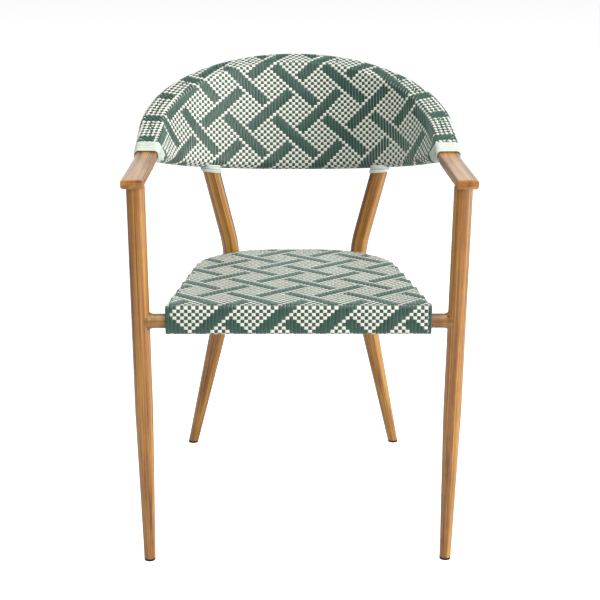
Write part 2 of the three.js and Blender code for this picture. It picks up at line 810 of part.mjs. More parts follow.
// The leg's binding lies square to the rail, close under the woven sleeve
function legBinding(side) {
  const { centre, along, square } = rearLegSeat(side);
  const frame = frameAlong(centre, along, vec(0, 1, 0));
  const radius = rearLegDiameter / 2 + clearance + strandThickness / 2;
  const sleeveDrop = railDiameter / 2 + weaveSlack + weaveThickness;
  const drop = sleeveDrop + legBindingGap + legStrandWidth / 2;
  const points = [];
  const outward = [];
  for (let step = 0; step <= legBindingTurns * wrapSides; step += 1) {
    const angle = 2 * Math.PI * step / wrapSides;
    const spoke = frame.across.clone().multiplyScalar(Math.cos(angle))
      .addScaledVector(frame.up, Math.sin(angle));
    const travel = (drop + legStrandPitch * step / wrapSides + radius * spoke.dot(square))
      / along.dot(square);
    points.push(centre.clone().addScaledVector(along, -travel).addScaledVector(spoke, radius));
    outward.push(spoke);
  }
  const rings = windingRings(points, outward, legStrandWidth);
  reportLeastGap("leg binding", rings);
  return loft(rings);
}

// Assembly

function named(name, geometry, finish) {
  const mesh = new THREE.Mesh(geometry, new THREE.MeshStandardMaterial(finish));
  mesh.name = name;
  return mesh;
}

const chair = new THREE.Group();
chair.add(named("arm_and_back_hoop", armAndBackHoop(), bambooPrint));
chair.add(named("back_lower_rail", backLowerRail(), bareAluminium));
chair.add(named("woven_back", wovenBack(), wovenStrand));
for (const [side, hand] of [[-1, "left"], [1, "right"]]) {
  const rearPath = rearLegPath(side);
  chair.add(named(`${hand}_arm_end_plate`, armEndPlate(side), bambooPrint));
  chair.add(named(`${hand}_front_leg`, frontLeg(side), bambooPrint));
  chair.add(named(`${hand}_rear_leg`, rearLeg(side), bambooPrint));
  chair.add(named(`${hand}_front_glide`, glide(frontFoot(side), frontLegTop(side)), blackPlastic));
  chair.add(named(`${hand}_rear_glide`, glide(rearFoot(side), rearPath[1].centre), blackPlastic));
  chair.add(named(`${hand}_front_stub`, frontStub(side), bambooPrint));
  chair.add(named(`${hand}_rear_stub`, rearStub(side), bambooPrint));
  chair.add(named(`${hand}_arm_binding`, armBinding(side), whiteStrand));
  chair.add(named(`${hand}_leg_binding`, legBinding(side), whiteStrand));
}

seat.add(named("seat_side_and_rear_rail", seatSideAndRearRail(), bareAluminium));
seat.add(named("seat_front_rail", seatFrontRail(), bareAluminium));
seat.add(named("front_seat_brace", seatBrace(frontBraceBack), bareAluminium));
seat.add(named("rear_seat_brace", seatBrace(seatLength - rearBraceSetin), bareAluminium));
seat.add(named("woven_seat", wovenSeat(), wovenStrand));
chair.add(seat);

// The origin is on the floor, under the middle of the chair
const bounds = new THREE.Box3().setFromObject(chair, true);
const middle = bounds.getCenter(new THREE.Vector3());
chair.position.set(-middle.x, -middle.y, -bounds.min.z);
chair.updateMatrixWorld(true);

export default chair;
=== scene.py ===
import math

import bpy
import numpy as np
from bpy.props import FloatProperty, FloatVectorProperty, PointerProperty
from mathutils import Matrix, Vector


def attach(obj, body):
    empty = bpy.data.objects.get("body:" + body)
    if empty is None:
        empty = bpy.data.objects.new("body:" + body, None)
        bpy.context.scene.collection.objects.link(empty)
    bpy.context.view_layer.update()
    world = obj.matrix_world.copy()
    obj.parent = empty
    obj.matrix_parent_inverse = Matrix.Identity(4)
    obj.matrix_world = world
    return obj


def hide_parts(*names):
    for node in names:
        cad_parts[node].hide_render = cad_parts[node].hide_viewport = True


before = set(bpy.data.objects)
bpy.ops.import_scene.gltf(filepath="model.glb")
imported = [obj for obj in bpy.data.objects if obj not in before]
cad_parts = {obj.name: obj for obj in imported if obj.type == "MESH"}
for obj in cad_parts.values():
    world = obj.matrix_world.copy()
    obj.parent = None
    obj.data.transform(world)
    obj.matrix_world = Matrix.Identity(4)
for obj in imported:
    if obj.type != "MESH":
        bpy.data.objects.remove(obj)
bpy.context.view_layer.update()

bl_info = {
    "name": "Woven bistro armchair",
    "version": (1, 0, 0),
    "blender": (4, 5, 0),
    "location": "3D View > Sidebar > Bistro chair",
    "description": "Builds the tubes, weave, bindings and stage of a bistro armchair",
    "category": "Add Mesh",
}

MM = 0.001

# Lengths below are in millimetres, in the part's own frame: y = 0 is the line through the
# tops of the front legs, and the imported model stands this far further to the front.
MODEL_SHIFT = np.array([0.0, -260.367, 0.0])

# Arms and back hoop
ARM_TOP_HEIGHT = 663.0
ARM_FRONT_HALF_SPAN = 263.0
ARM_FRONT_SETOUT = 21.0
BAR_WIDTH = 36.0
BAR_THICKNESS = 15.0
BAR_CORNER = 4.5
HOOP_ARC_RADIUS = 254.0
HOOP_ARC_BACK = 264.0
RISE_START_BACK = 175.0
RISE_BEND_RADIUS = 150.0
RISE_ANGLE = math.radians(18.8)
END_PLATE_THICKNESS = 2.5

# Lower rail of the back
RAIL_RADIUS = 11.0
RAIL_ARC_RADIUS = 233.0
RAIL_ARC_BACK = 236.0
RAIL_REAR_DROP = 71.0
RAIL_FALL = math.tan(math.radians(14.6))
RAIL_SPLAY = math.radians(16.0)
RAIL_TIP_BACK = 198.0
WEAVE_FRONT_BACK = 214.0
WEAVE_RAIL_BACK = 236.0
TIP_CROWDING_POWER = 3.4

# Legs
FOOT_RADIUS = 9.5
FRONT_LEG_RADIUS = 15.0
FRONT_TAPER_HEIGHT = 270.0
FRONT_LEG_TOP_HALF_SPAN = 259.2
FRONT_FOOT_HALF_SPAN = 251.6
FRONT_FOOT_SETOUT = 1.4
REAR_LEG_RADIUS = 15.5
REAR_TAPER_HEIGHT = 240.0
REAR_LEG_TOP_HALF_SPAN = 161.0
REAR_FOOT_HALF_SPAN = 204.3
REAR_FOOT_BACK = 518.7
KNEE_HALF_SPAN = 115.4
KNEE_HEIGHT = 410.0
KNEE_RADIUS = 250.0
GLIDE_HEIGHT = 4.3
SADDLE_SHARE = 0.95

# Seat
SEAT_FRONT_SETOUT = 14.0
SEAT_FRONT_HEIGHT = 456.6
SEAT_FRONT_HALF_WIDTH = 217.0
SEAT_REAR_HALF_WIDTH = 169.0
SEAT_LENGTH = 461.0
SEAT_FALL = math.radians(3.56)
SEAT_REAR_CORNER = 150.0
SEAT_FRONT_CORNER = 8.0
APRON_HEIGHT = 50.0
APRON_ROUNDING = 7.0
TURN_UNDER = 15.0

# Stubs between the legs and the seat
FRONT_STUB_RADIUS = 12.0
FRONT_STUB_DROP = 30.6
WELD_RISE = 5.0
WELD_SIDE = 1.25
WELD_LENGTH = 8.0
REAR_STUB_RADIUS = 10.0
REAR_STUB_DROP = 7.3
STUB_REACH = 12.0
REAR_STUB_EXTRA_REACH = 6.0

# Bindings
BINDING_OFFSET = 2.4
BINDING_GAP = -0.2
BINDING_PITCH = 6.2
ARM_BINDING_TURNS = 6
LEG_BINDING_PITCH = 4.9
LEG_BINDING_TURNS = 4

# Where on its pattern the print begins, in millimetres, so that no two pieces look alike
BAR_PRINT = 900.0
ARM_END_PRINT = 1300.0
REAR_LEG_PRINT = 300.0
FRONT_STUB_PRINT = 1700.0
REAR_STUB_PRINT = 2100.0
HAND_PRINT = 100.0

# How finely the pieces are made
ROUND_SIDES = 48
BAR_STATIONS = 160
FRONT_LEG_STATIONS = 30
REAR_LEG_STEP = 30.0
KNEE_STATIONS = 13
WELD_STATIONS = 9
STRAND_FACETS = 8
BINDING_FACETS = 10
CORNER_POINTS = 40
WRAP_ANGLES = 96
WRAP_HALF_TURNS = 1.25
SHEET_STEP = 2.0

SIDES = (("left", -1.0), ("right", 1.0))


# Small vector helpers

def vec(*numbers):
    return np.array(numbers, float)


def unit(vector):
    return vector / np.linalg.norm(vector)


def frame_along(centre, along, hint):
    across = unit(np.cross(hint, along))
    return centre, unit(along), across, unit(np.cross(along, across))


def travelled(points):
    steps = np.linalg.norm(np.diff(points, axis=0), axis=1)
    return np.concatenate([[0.0], np.cumsum(steps)])


def resampled(points, distance, wanted):
    """Points at some distances along a way, straight between the ones it has."""
    return np.stack([np.interp(wanted, distance, values) for values in points.T], -1)


def to_model(points):
    return (np.asarray(points, float) + MODEL_SHIFT) * MM


# Paths of the hoop, the lower rail and the legs

ARM_REACH = math.hypot(ARM_FRONT_HALF_SPAN, HOOP_ARC_BACK + ARM_FRONT_SETOUT)
ARM_SPLAY = math.acos(HOOP_ARC_RADIUS / ARM_REACH) - math.atan2(
    HOOP_ARC_BACK + ARM_FRONT_SETOUT, ARM_FRONT_HALF_SPAN)
HOOP_ARC_LENGTH = HOOP_ARC_RADIUS * (math.pi / 2 - ARM_SPLAY)
HOOP_TANGENT_BACK = HOOP_ARC_BACK + HOOP_ARC_RADIUS * math.sin(ARM_SPLAY)
RISE_RUN_UP = RISE_BEND_RADIUS * math.tan(RISE_ANGLE / 2)
RAIL_ARC_LENGTH = RAIL_ARC_RADIUS * (math.pi / 2 - RAIL_SPLAY)
RAIL_TANGENT_BACK = RAIL_ARC_BACK + RAIL_ARC_RADIUS * math.sin(RAIL_SPLAY)


def hoop_length_to(back):
    return HOOP_ARC_LENGTH + (HOOP_TANGENT_BACK - back) / math.cos(ARM_SPLAY)


def rail_length_to(back):
    return RAIL_ARC_LENGTH + (RAIL_TANGENT_BACK - back) / math.cos(RAIL_SPLAY)


def rail_height_at(back):
    return (ARM_TOP_HEIGHT - RAIL_REAR_DROP
            + RAIL_FALL * (RAIL_ARC_BACK + RAIL_ARC_RADIUS - back))


def rise_at(back):
    run = back - RISE_START_BACK + RISE_RUN_UP
    if run <= 0:
        return 0.0, 0.0
    if run < RISE_BEND_RADIUS * math.sin(RISE_ANGLE):
        slope = math.asin(run / RISE_BEND_RADIUS)
        return RISE_BEND_RADIUS * (1 - math.cos(slope)), slope
    return math.tan(RISE_ANGLE) * (back - RISE_START_BACK), RISE_ANGLE


def plan_point(length, arc_length, arc_radius, arc_back):
    """A point of an arc with straight ends, and how far the path has turned there."""
    side = -1.0 if length < 0 else 1.0
    turned = min(abs(length), arc_length) / arc_radius
    straight = max(abs(length) - arc_length, 0.0)
    x = arc_radius * math.sin(turned) + straight * math.cos(turned)
    y = arc_back + arc_radius * math.cos(turned) - straight * math.sin(turned)
    return side * x, y, math.cos(turned), -math.sin(turned) * side


def hoop_frame(length):
    x, y, along_x, along_y = plan_point(length, HOOP_ARC_LENGTH, HOOP_ARC_RADIUS, HOOP_ARC_BACK)
    height, slope = rise_at(y)
    up = vec(0, -math.sin(slope), math.cos(slope))
    along = unit(vec(along_x, along_y, along_y * math.tan(slope)))
    centre = vec(x, y, ARM_TOP_HEIGHT + height) - up * BAR_THICKNESS / 2
    return centre, along, np.cross(up, along), up


def rail_frame(length):
    x, y, along_x, along_y = plan_point(length, RAIL_ARC_LENGTH, RAIL_ARC_RADIUS, RAIL_ARC_BACK)
    along = vec(along_x, along_y, -along_y * RAIL_FALL)
    return frame_along(vec(x, y, rail_height_at(y)), along, vec(0, 0, 1))


SLEEVE_HALF = hoop_length_to(WEAVE_FRONT_BACK)
SLEEVE_RAIL_HALF = rail_length_to(WEAVE_RAIL_BACK)
BAR_END_LENGTH = hoop_length_to(-ARM_FRONT_SETOUT + END_PLATE_THICKNESS)


def rail_length_for(share):
    length = SLEEVE_HALF * abs(share)
    length -= (SLEEVE_HALF - SLEEVE_RAIL_HALF) * abs(share) ** TIP_CROWDING_POWER
    return math.copysign(length, share)


def front_foot(side):
    return vec(side * FRONT_FOOT_HALF_SPAN, -FRONT_FOOT_SETOUT, 0)


def front_leg_top(side):
    return vec(side * FRONT_LEG_TOP_HALF_SPAN, 0, ARM_TOP_HEIGHT - BAR_THICKNESS / 2)


def on_front_leg(side, height):
    foot, top = front_foot(side), front_leg_top(side)
    return foot + (top - foot) * height / top[2]


def rear_leg_top(side):
    back = RAIL_ARC_BACK + math.sqrt(RAIL_ARC_RADIUS ** 2 - REAR_LEG_TOP_HALF_SPAN ** 2)
    return vec(side * REAR_LEG_TOP_HALF_SPAN, back, rail_height_at(back))


def rear_leg_path(side):
    """Centres and directions up the rear leg: straight, one bend, straight to the rail."""
    foot = vec(side * REAR_FOOT_HALF_SPAN, REAR_FOOT_BACK, 0)
    top = rear_leg_top(side)
    knee_back = REAR_FOOT_BACK + (top[1] - REAR_FOOT_BACK) * KNEE_HEIGHT / top[2]
    knee = vec(side * KNEE_HALF_SPAN, knee_back, KNEE_HEIGHT)
    down, up = unit(foot - knee), unit(top - knee)
    half = math.acos(np.dot(down, up)) / 2
    run = KNEE_RADIUS / math.tan(half)
    middle = knee + unit(down + up) * KNEE_RADIUS / math.sin(half)
    start, end = knee + down * run - middle, knee + up * run - middle
    turn = math.acos(np.dot(unit(start), unit(end)))
    axis = unit(np.cross(start, end))
    taper = foot - down * REAR_TAPER_HEIGHT / abs(down[2])
    path = [(foot, -down), (taper, -down)]
    for share in np.linspace(0, 1, KNEE_STATIONS):
        spoke = np.array(Matrix.Rotation(turn * share, 3, Vector(axis)) @ Vector(start))
        path.append((middle + spoke, unit(np.cross(axis, spoke))))
    path.append((top, up))
    return path


def rear_leg_seat(side):
    """The leg's end at the lower rail: its middle, its direction, and that square to the rail."""
    centre, along = rear_leg_path(side)[-1]
    turned = math.asin(REAR_LEG_TOP_HALF_SPAN / RAIL_ARC_RADIUS)
    rail_along = rail_frame(side * RAIL_ARC_RADIUS * turned)[1]
    return centre, along, unit(along - rail_along * np.dot(along, rail_along))


# Seat plan. The seat's own frame is x across, y back along the slope, z up from its top.

SIDE_LEAN = (SEAT_FRONT_HALF_WIDTH - SEAT_REAR_HALF_WIDTH) / SEAT_LENGTH


def seat_to_part(points):
    points = np.asarray(points, float)
    back = points[..., 1] * math.cos(SEAT_FALL) + points[..., 2] * math.sin(SEAT_FALL)
    up = points[..., 2] * math.cos(SEAT_FALL) - points[..., 1] * math.sin(SEAT_FALL)
    return np.stack([points[..., 0], back - SEAT_FRONT_SETOUT, up + SEAT_FRONT_HEIGHT], -1)


def seat_half_width(back, inset=0.0):
    return SEAT_FRONT_HALF_WIDTH - SIDE_LEAN * back - inset * math.hypot(1, SIDE_LEAN)


def seat_outline():
    """Half of the seat's edge, from the middle of the front round to the middle of the rear."""
    lean = math.atan(SIDE_LEAN)
    points, outward = [vec(0, 0)], [vec(0, -1)]
    for back, radius, start, end in (
            (SEAT_FRONT_CORNER, SEAT_FRONT_CORNER, -math.pi / 2, lean),
            (SEAT_LENGTH - SEAT_REAR_CORNER, SEAT_REAR_CORNER, lean, math.pi / 2)):
        for angle in np.linspace(start, end, CORNER_POINTS):
            outward.append(vec(math.cos(angle), math.sin(angle)))
            points.append(vec(seat_half_width(back, radius), back) + radius * outward[-1])
    return np.array([*points, vec(0, SEAT_LENGTH)]), np.array([*outward, vec(0, 1)])


OUTLINE, OUTLINE_OUTWARD = seat_outline()
OUTLINE_LENGTH = travelled(OUTLINE)


def outline_at(length, side):
    """A point of the seat's edge, and the level direction out of it."""
    point = resampled(OUTLINE, OUTLINE_LENGTH, length) * vec(side, 1)
    outward = resampled(OUTLINE_OUTWARD, OUTLINE_LENGTH, length) * vec(side, 1)
    return point, unit(outward)


def front_stub_line(side):
    start = on_front_leg(side, SEAT_FRONT_HEIGHT - FRONT_STUB_DROP)
    end = vec(side * seat_half_width(SEAT_FRONT_SETOUT, STUB_REACH), start[1], start[2])
    return start, end


def rear_stub_line(side):
    corner = SEAT_LENGTH - SEAT_REAR_CORNER
    middle = vec(side * (seat_half_width(SEAT_LENGTH, SEAT_REAR_CORNER)
                         + SIDE_LEAN * SEAT_REAR_CORNER), corner, -APRON_HEIGHT / 2)
    target = seat_to_part(middle) - vec(0, 0, REAR_STUB_DROP)
    path = [centre for centre, _ in rear_leg_path(side)]
    above = next(k for k, centre in enumerate(path) if centre[2] > target[2])
    low, high = path[above - 1], path[above]
    start = low + (high - low) * (target[2] - low[2]) / (high[2] - low[2])
    return start, start + unit(target - start) * (REAR_LEG_RADIUS + STUB_REACH
                                             + REAR_STUB_EXTRA_REACH)


# Settings

def hex_to_linear(code):
    """An sRGB hex colour as linear red, green, blue and alpha."""
    channels = [int(code[k:k + 2], 16) / 255 for k in (1, 3, 5)]
    linear = [c / 12.92 if c <= 0.04045 else ((c + 0.055) / 1.055) ** 2.4 for c in channels]
    return (*linear, 1.0)


def colour_property(name, description, code):
    return FloatVectorProperty(name=name, description=description, subtype="COLOR", size=4,
                               min=0, max=1, default=hex_to_linear(code))


def length_property(name, description, millimetres):
    return FloatProperty(name=name, description=description, default=millimetres * MM,
                         min=0, unit="LENGTH", precision=5)


def power_property(name, description, watts):
    return FloatProperty(name=name, description=description, default=watts, min=0, unit="POWER")


class WeaveSettings(bpy.types.PropertyGroup):
    warp_width: length_property("Warp width", "Width of the green strands", 5.9)
    weft_width: length_property("Weft width", "Width of the white strands", 5.35)
    strand_thickness: length_property("Strand thickness", "Thickness of a flat strand", 1.1)
    strand_rise: length_property("Strand rise", "How far a strand rises over a crossing", 0.62)
    binding_width: length_property("Binding width", "Width of the arm binding's strand", 6.1)
    leg_binding_width: length_property("Leg binding width", "Width at the legs", 4.7)
    binding_thickness: length_property("Binding thickness", "Thickness of the bindings", 2.4)
    green: colour_property("Green", "Colour of the green strands", "#214b3c")
    white: colour_property("White", "Colour of the white strands", "#f2f0e4")
    binding: colour_property("Binding", "Colour of the bindings", "#dee7dc")


class TubeSettings(bpy.types.PropertyGroup):
    print_mid: colour_property("Print", "Main colour of the bamboo print", "#ae7124")
    print_dark: colour_property("Print streaks", "Colour of the dark streaks", "#6a3d10")
    print_light: colour_property("Print highlights", "Colour of the pale streaks", "#cf9a3f")
    glide: colour_property("Glide", "Colour of the foot glides", "#191919")


class StageSettings(bpy.types.PropertyGroup):
    floor: colour_property("Floor", "Colour of the floor", "#f4f4f4")
    key_power: power_property("Key power", "Power of the lamp at the right", 120.0)
    top_power: power_property("Top power", "Power of the lamp over the chair", 43.0)
    fill_power: power_property("Fill power", "Power of the lamp at the left", 4.0)
    panel_power: power_property("Panel power", "Power of the lamps behind the sheen", 55.0)
    lens: FloatProperty(name="Lens", description="Focal length of the camera in millimetres",
                        default=87.22, min=1)


# Material nodes

def add_node(tree, kind, **values):
    """Adds a node. A value sets the property of that name, or else the input of that name or
    of the number after an i. A node or a socket given as a value is linked to the input."""
    node = tree.nodes.new(kind)
    for name, value in values.items():
        if hasattr(node, name):
            setattr(node, name, value)
            continue
        socket = node.inputs[int(name[1:]) if name[1:].isdigit() else name.replace("_", " ")]
        if isinstance(value, bpy.types.Node):
            value = next(output for output in value.outputs if not output.is_unavailable)
        if isinstance(value, bpy.types.NodeSocket):
            tree.links.new(value, socket)
        else:
            socket.default_value = value
    return node


def new_material(name):
    material = bpy.data.materials.new(name)
    material.use_nodes = True
    material.node_tree.nodes.clear()
    return material, material.node_tree


def finished(material, shader):
    add_node(material.node_tree, "ShaderNodeOutputMaterial", Surface=shader)
    return material


def set_ramp(node, *stops):
    ramp = node.color_ramp
    while len(ramp.elements) < len(stops):
        ramp.elements.new(0.5)
    for element, (position, colour) in zip(ramp.elements, stops):
        element.position = position
        element.color = colour


def shade(colour, factor):
    return (*[min(c * factor, 1.0) for c in colour[:3]], 1.0)


def strand_material(name, colour, roughness, spread, ior=1.58, sheen=0.0):
    """Extruded polyethylene strand: an even colour with fine drawn lines along its length,
    which scatter a cool sheen at grazing angles, and no two strands quite alike."""
    material, tree = new_material(name)
    along, across, tone = [
        add_node(tree, "ShaderNodeAttribute", attribute_name=kept).outputs["Fac"]
        for kept in ("along", "across", "tone")]
    # Drawn lines 0.4 mm apart across the strand and about 40 mm long
    place = add_node(tree, "ShaderNodeCombineXYZ", X=along, Y=across, Z=tone)
    scaled = add_node(tree, "ShaderNodeVectorMath", operation="MULTIPLY", i0=place,
                      i1=(25.0, 2500.0, 37.0))
    lines = add_node(tree, "ShaderNodeTexNoise", Vector=scaled, Scale=1.0)
    mixed = add_node(tree, "ShaderNodeMath", operation="MULTIPLY_ADD", i0=tone, i1=0.6, i2=lines)
    ramp = add_node(tree, "ShaderNodeValToRGB", Fac=mixed)
    set_ramp(ramp, (0.35, shade(colour, 1 - spread)), (0.8, colour),
             (1.0, shade(colour, 1 + spread)))
    bump = add_node(tree, "ShaderNodeBump", Strength=0.25, Distance=0.0002, Height=lines)
    return finished(material, add_node(
        tree, "ShaderNodeBsdfPrincipled", Base_Color=ramp, Roughness=roughness, IOR=ior,
        Normal=bump, Sheen_Weight=sheen, Sheen_Roughness=0.45,
        Sheen_Tint=hex_to_linear("#bfe2db")))


def print_material(settings, name="bamboo_printed_aluminium", painted_shade_factor=1.0, patchiness=0.07):
    """Aluminium tube with a bamboo heat-transfer print under clear powder coat: warm brown
    ground, long dark and pale fibres along the tube, a satin gloss."""
    material, tree = new_material(name)
    place = add_node(tree, "ShaderNodeAttribute", attribute_name="grain").outputs["Vector"]
    # Fibres about 2.5 mm across and 300 mm long
    fibre_place = add_node(tree, "ShaderNodeVectorMath", operation="MULTIPLY", i0=place,
                           i1=(400.0, 400.0, 3.3))
    fibres = add_node(tree, "ShaderNodeTexNoise", Vector=fibre_place, Scale=1.0, Detail=5.0,
                      Roughness=0.6, Distortion=0.3)
    # Broad streaks about 12 mm across
    broad_place = add_node(tree, "ShaderNodeVectorMath", operation="MULTIPLY", i0=place,
                           i1=(80.0, 80.0, 1.6))
    broad = add_node(tree, "ShaderNodeTexNoise", Vector=broad_place, Scale=1.0, Detail=3.0)
    # Mottled patches about 20 mm long
    patches = add_node(tree, "ShaderNodeTexNoise", Vector=place, Scale=45.0, Detail=4.0,
                       Roughness=0.6)
    both = add_node(tree, "ShaderNodeMix", data_type="FLOAT", Factor=0.45, A=fibres, B=broad)
    mixed = add_node(tree, "ShaderNodeMix", data_type="FLOAT", Factor=patchiness, A=both,
                     B=patches)
    ramp = add_node(tree, "ShaderNodeValToRGB", Fac=mixed)
    # A factor under one darkens the whole print: painted shade.
    set_ramp(ramp, (0.38, shade(settings.print_dark, painted_shade_factor)),
             (0.49, shade(settings.print_mid, painted_shade_factor)), (0.6, shade(settings.print_light, painted_shade_factor)))
    bump = add_node(tree, "ShaderNodeBump", Strength=0.15, Distance=0.0003, Height=fibres)
    return finished(material, add_node(
        tree, "ShaderNodeBsdfPrincipled", Base_Color=ramp, Roughness=0.42, IOR=1.5,
        Coat_Weight=0.85, Coat_Roughness=0.16, Normal=bump))


def plastic_material(settings):
    """Moulded polypropylene glide: nearly black with a fine spark-eroded grain."""
    material, tree = new_material("moulded_black_polypropylene")
    place = add_node(tree, "ShaderNodeTexCoord").outputs["Object"]
    grit = add_node(tree, "ShaderNodeTexNoise", Vector=place, Scale=1800.0)
    ramp = add_node(tree, "ShaderNodeValToRGB", Fac=grit)
    set_ramp(ramp, (0.3, shade(settings.glide, 0.7)), (0.7, shade(settings.glide, 1.4)))
    bump = add_node(tree, "ShaderNodeBump", Strength=0.2, Distance=0.0001, Height=grit)
    return finished(material, add_node(
        tree, "ShaderNodeBsdfPrincipled", Base_Color=ramp, Roughness=0.55, IOR=1.49,
        Normal=bump))


def aluminium_material():
    """Mill-finish aluminium tube: grey, satin, with faint drawing marks."""
    material, tree = new_material("mill_finish_aluminium")
    place = add_node(tree, "ShaderNodeTexCoord").outputs["Object"]
    marks_place = add_node(tree, "ShaderNodeVectorMath", operation="MULTIPLY", i0=place,
                           i1=(30.0, 900.0, 900.0))
    marks = add_node(tree, "ShaderNodeTexNoise", Vector=marks_place, Scale=1.0, Detail=3.0)
    tone = add_node(tree, "ShaderNodeValToRGB", Fac=marks)
    set_ramp(tone, (0.3, hex_to_linear("#a6a8aa")), (0.7, hex_to_linear("#c3c5c6")))
    gloss = add_node(tree, "ShaderNodeMapRange", Value=marks, To_Min=0.32, To_Max=0.5)
    return finished(material, add_node(tree, "ShaderNodeBsdfPrincipled", Base_Color=tone,
                                       Metallic=1.0, Roughness=gloss))


# Mesh pieces

def add_to_scene(name, data):
    made = bpy.data.objects.new(name, data)
    bpy.context.scene.collection.objects.link(made)
    return made


def add_piece(name, mesh, material, nodes):
    """Puts a finished mesh into the scene as a piece that stands for the given CAD nodes."""
    piece = add_to_scene(name, mesh)
    mesh.materials.clear()
    mesh.materials.append(material)
    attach(piece, "root")
    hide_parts(*nodes)


def loft_mesh(name, rings, grain, crisp_angle=50):
    """A closed body through rings of equal count, with a straightened-tube place per point.
    Edges whose faces meet at more than the angle stay crisp."""
    rings = np.asarray(rings, float)
    count, sides = rings.shape[:2]
    faces = [(r + k, r + (k + 1) % sides, r + (k + 1) % sides + sides, r + k + sides)
             for r in range(0, (count - 1) * sides, sides) for k in range(sides)]
    faces.append(tuple(range(sides))[::-1])
    faces.append(tuple(range((count - 1) * sides, count * sides)))
    mesh = bpy.data.meshes.new(name)
    mesh.from_pydata([tuple(p) for p in to_model(rings.reshape(-1, 3))], [], faces)
    place = mesh.attributes.new("grain", "FLOAT_VECTOR", "POINT")
    place.data.foreach_set("vector", np.asarray(grain, float).reshape(-1) * MM)
    mesh.shade_smooth()
    mesh.set_sharp_from_angle(angle=math.radians(crisp_angle))
    return mesh


def round_section(radius_x, radius_y=None):
    angles = np.arange(ROUND_SIDES) * 2 * math.pi / ROUND_SIDES
    return np.stack([radius_x * np.cos(angles), (radius_y or radius_x) * np.sin(angles)], -1)


def bar_section(inset=0.0, facets=6):
    corner = max(BAR_CORNER - inset, 0.8)
    points = []
    for quarter, (sx, sy) in enumerate(((1, 1), (-1, 1), (-1, -1), (1, -1))):
        for k in range(facets + 1):
            angle = (quarter + k / facets) * math.pi / 2
            points.append([sx * (BAR_WIDTH / 2 - inset - corner) + corner * math.cos(angle),
                           sy * (BAR_THICKNESS / 2 - inset - corner) + corner * math.sin(angle)])
    return np.array(points)


def ring_at(frame_here, section):
    centre, _, across, up = frame_here
    return centre + section[:, :1] * across + section[:, 1:] * up


def straightened(section, length, start):
    """Where a ring's points lie on the straightened tube, from a start of its own."""
    return np.column_stack([section[:, 0] + start, section[:, 1], np.full(len(section), length)])


def hoop_mesh():
    lengths = np.linspace(-BAR_END_LENGTH, BAR_END_LENGTH, BAR_STATIONS)
    section = bar_section()
    rings = [ring_at(hoop_frame(length), section) for length in lengths]
    grain = [straightened(section, length, BAR_PRINT) for length in lengths]
    return loft_mesh("arm_and_back_bar", rings, grain)


def end_plate_mesh(side, hand):
    # How far out each ring lies, and how far in from the bar's outline: a softened edge
    steps = [(0.0, 0.0), (END_PLATE_THICKNESS - 0.9, 0.0), (END_PLATE_THICKNESS - 0.3, 0.4),
             (END_PLATE_THICKNESS, 1.1)]
    rings, grain = [], []
    for travel, inset in (steps if side > 0 else steps[::-1]):
        section = bar_section(inset)
        rings.append(ring_at(hoop_frame(side * (BAR_END_LENGTH + travel)), section))
        # The plate's print runs across the arm
        grain.append(np.column_stack([section[:, 1] + ARM_END_PRINT * side,
                                      np.full(len(section), travel), section[:, 0]]))
    return loft_mesh(f"{hand}_arm_end", rings, grain, 60)


def tube_rings(path, sections, start, hint=(0, 1, 0), length=0.0):
    """Rings along centres and directions, and their places on the straightened tube."""
    rings, grain = [], []
    for index, ((centre, along), section) in enumerate(zip(path, sections)):
        if index:
            length += np.linalg.norm(centre - path[index - 1][0])
        rings.append(ring_at(frame_along(centre, along, vec(*hint)), section))
        grain.append(straightened(section, length, start))
    return rings, grain


def cut_ring(ring, along, point, normal=(0, 0, 1)):
    """Slides a ring's points along the tube onto a plane."""
    travel = ((point - ring) @ normal) / np.dot(along, normal)
    return ring + travel[:, None] * along


def front_leg_mesh(side, hand):
    foot, top = front_foot(side), front_leg_top(side)
    along, length = unit(top - foot), np.linalg.norm(top - foot)
    stations = np.linspace(GLIDE_HEIGHT, length, FRONT_LEG_STATIONS)
    sections = [round_section(FOOT_RADIUS + (FRONT_LEG_RADIUS - FOOT_RADIUS)
                              * min(station / FRONT_TAPER_HEIGHT, 1.0)) for station in stations]
    rings, grain = tube_rings([(foot + along * station, along) for station in stations],
                              sections, HAND_PRINT * side)
    rings[0] = cut_ring(rings[0], along, vec(0, 0, GLIDE_HEIGHT))
    rings[-1] = cut_ring(rings[-1], along, vec(0, 0, ARM_TOP_HEIGHT - BAR_THICKNESS))
    return loft_mesh(f"{hand}_front_leg_tube", rings, grain)


def rear_leg_mesh(side, hand):
    path = rear_leg_path(side)
    dense, sections = [], []
    for index, ((a, along_a), (b, along_b)) in enumerate(zip(path, path[1:] + path[-1:])):
        parts = max(int(np.linalg.norm(b - a) / REAR_LEG_STEP), 1)
        for share in np.arange(parts) / parts:
            dense.append((a + (b - a) * share, unit(along_a + (along_b - along_a) * share)))
            sections.append(round_section(FOOT_RADIUS + (REAR_LEG_RADIUS - FOOT_RADIUS)
                                          * (share if index == 0 else 1)))
    rings, grain = tube_rings(dense, sections, REAR_LEG_PRINT + HAND_PRINT * side)
    rings[0] = cut_ring(rings[0], dense[0][1], vec(0, 0, GLIDE_HEIGHT))
    centre, along, square = rear_leg_seat(side)
    rings[-1] = cut_ring(rings[-1], along, centre - square * SADDLE_SHARE * RAIL_RADIUS, square)
    return loft_mesh(f"{hand}_rear_leg_tube", rings, grain)


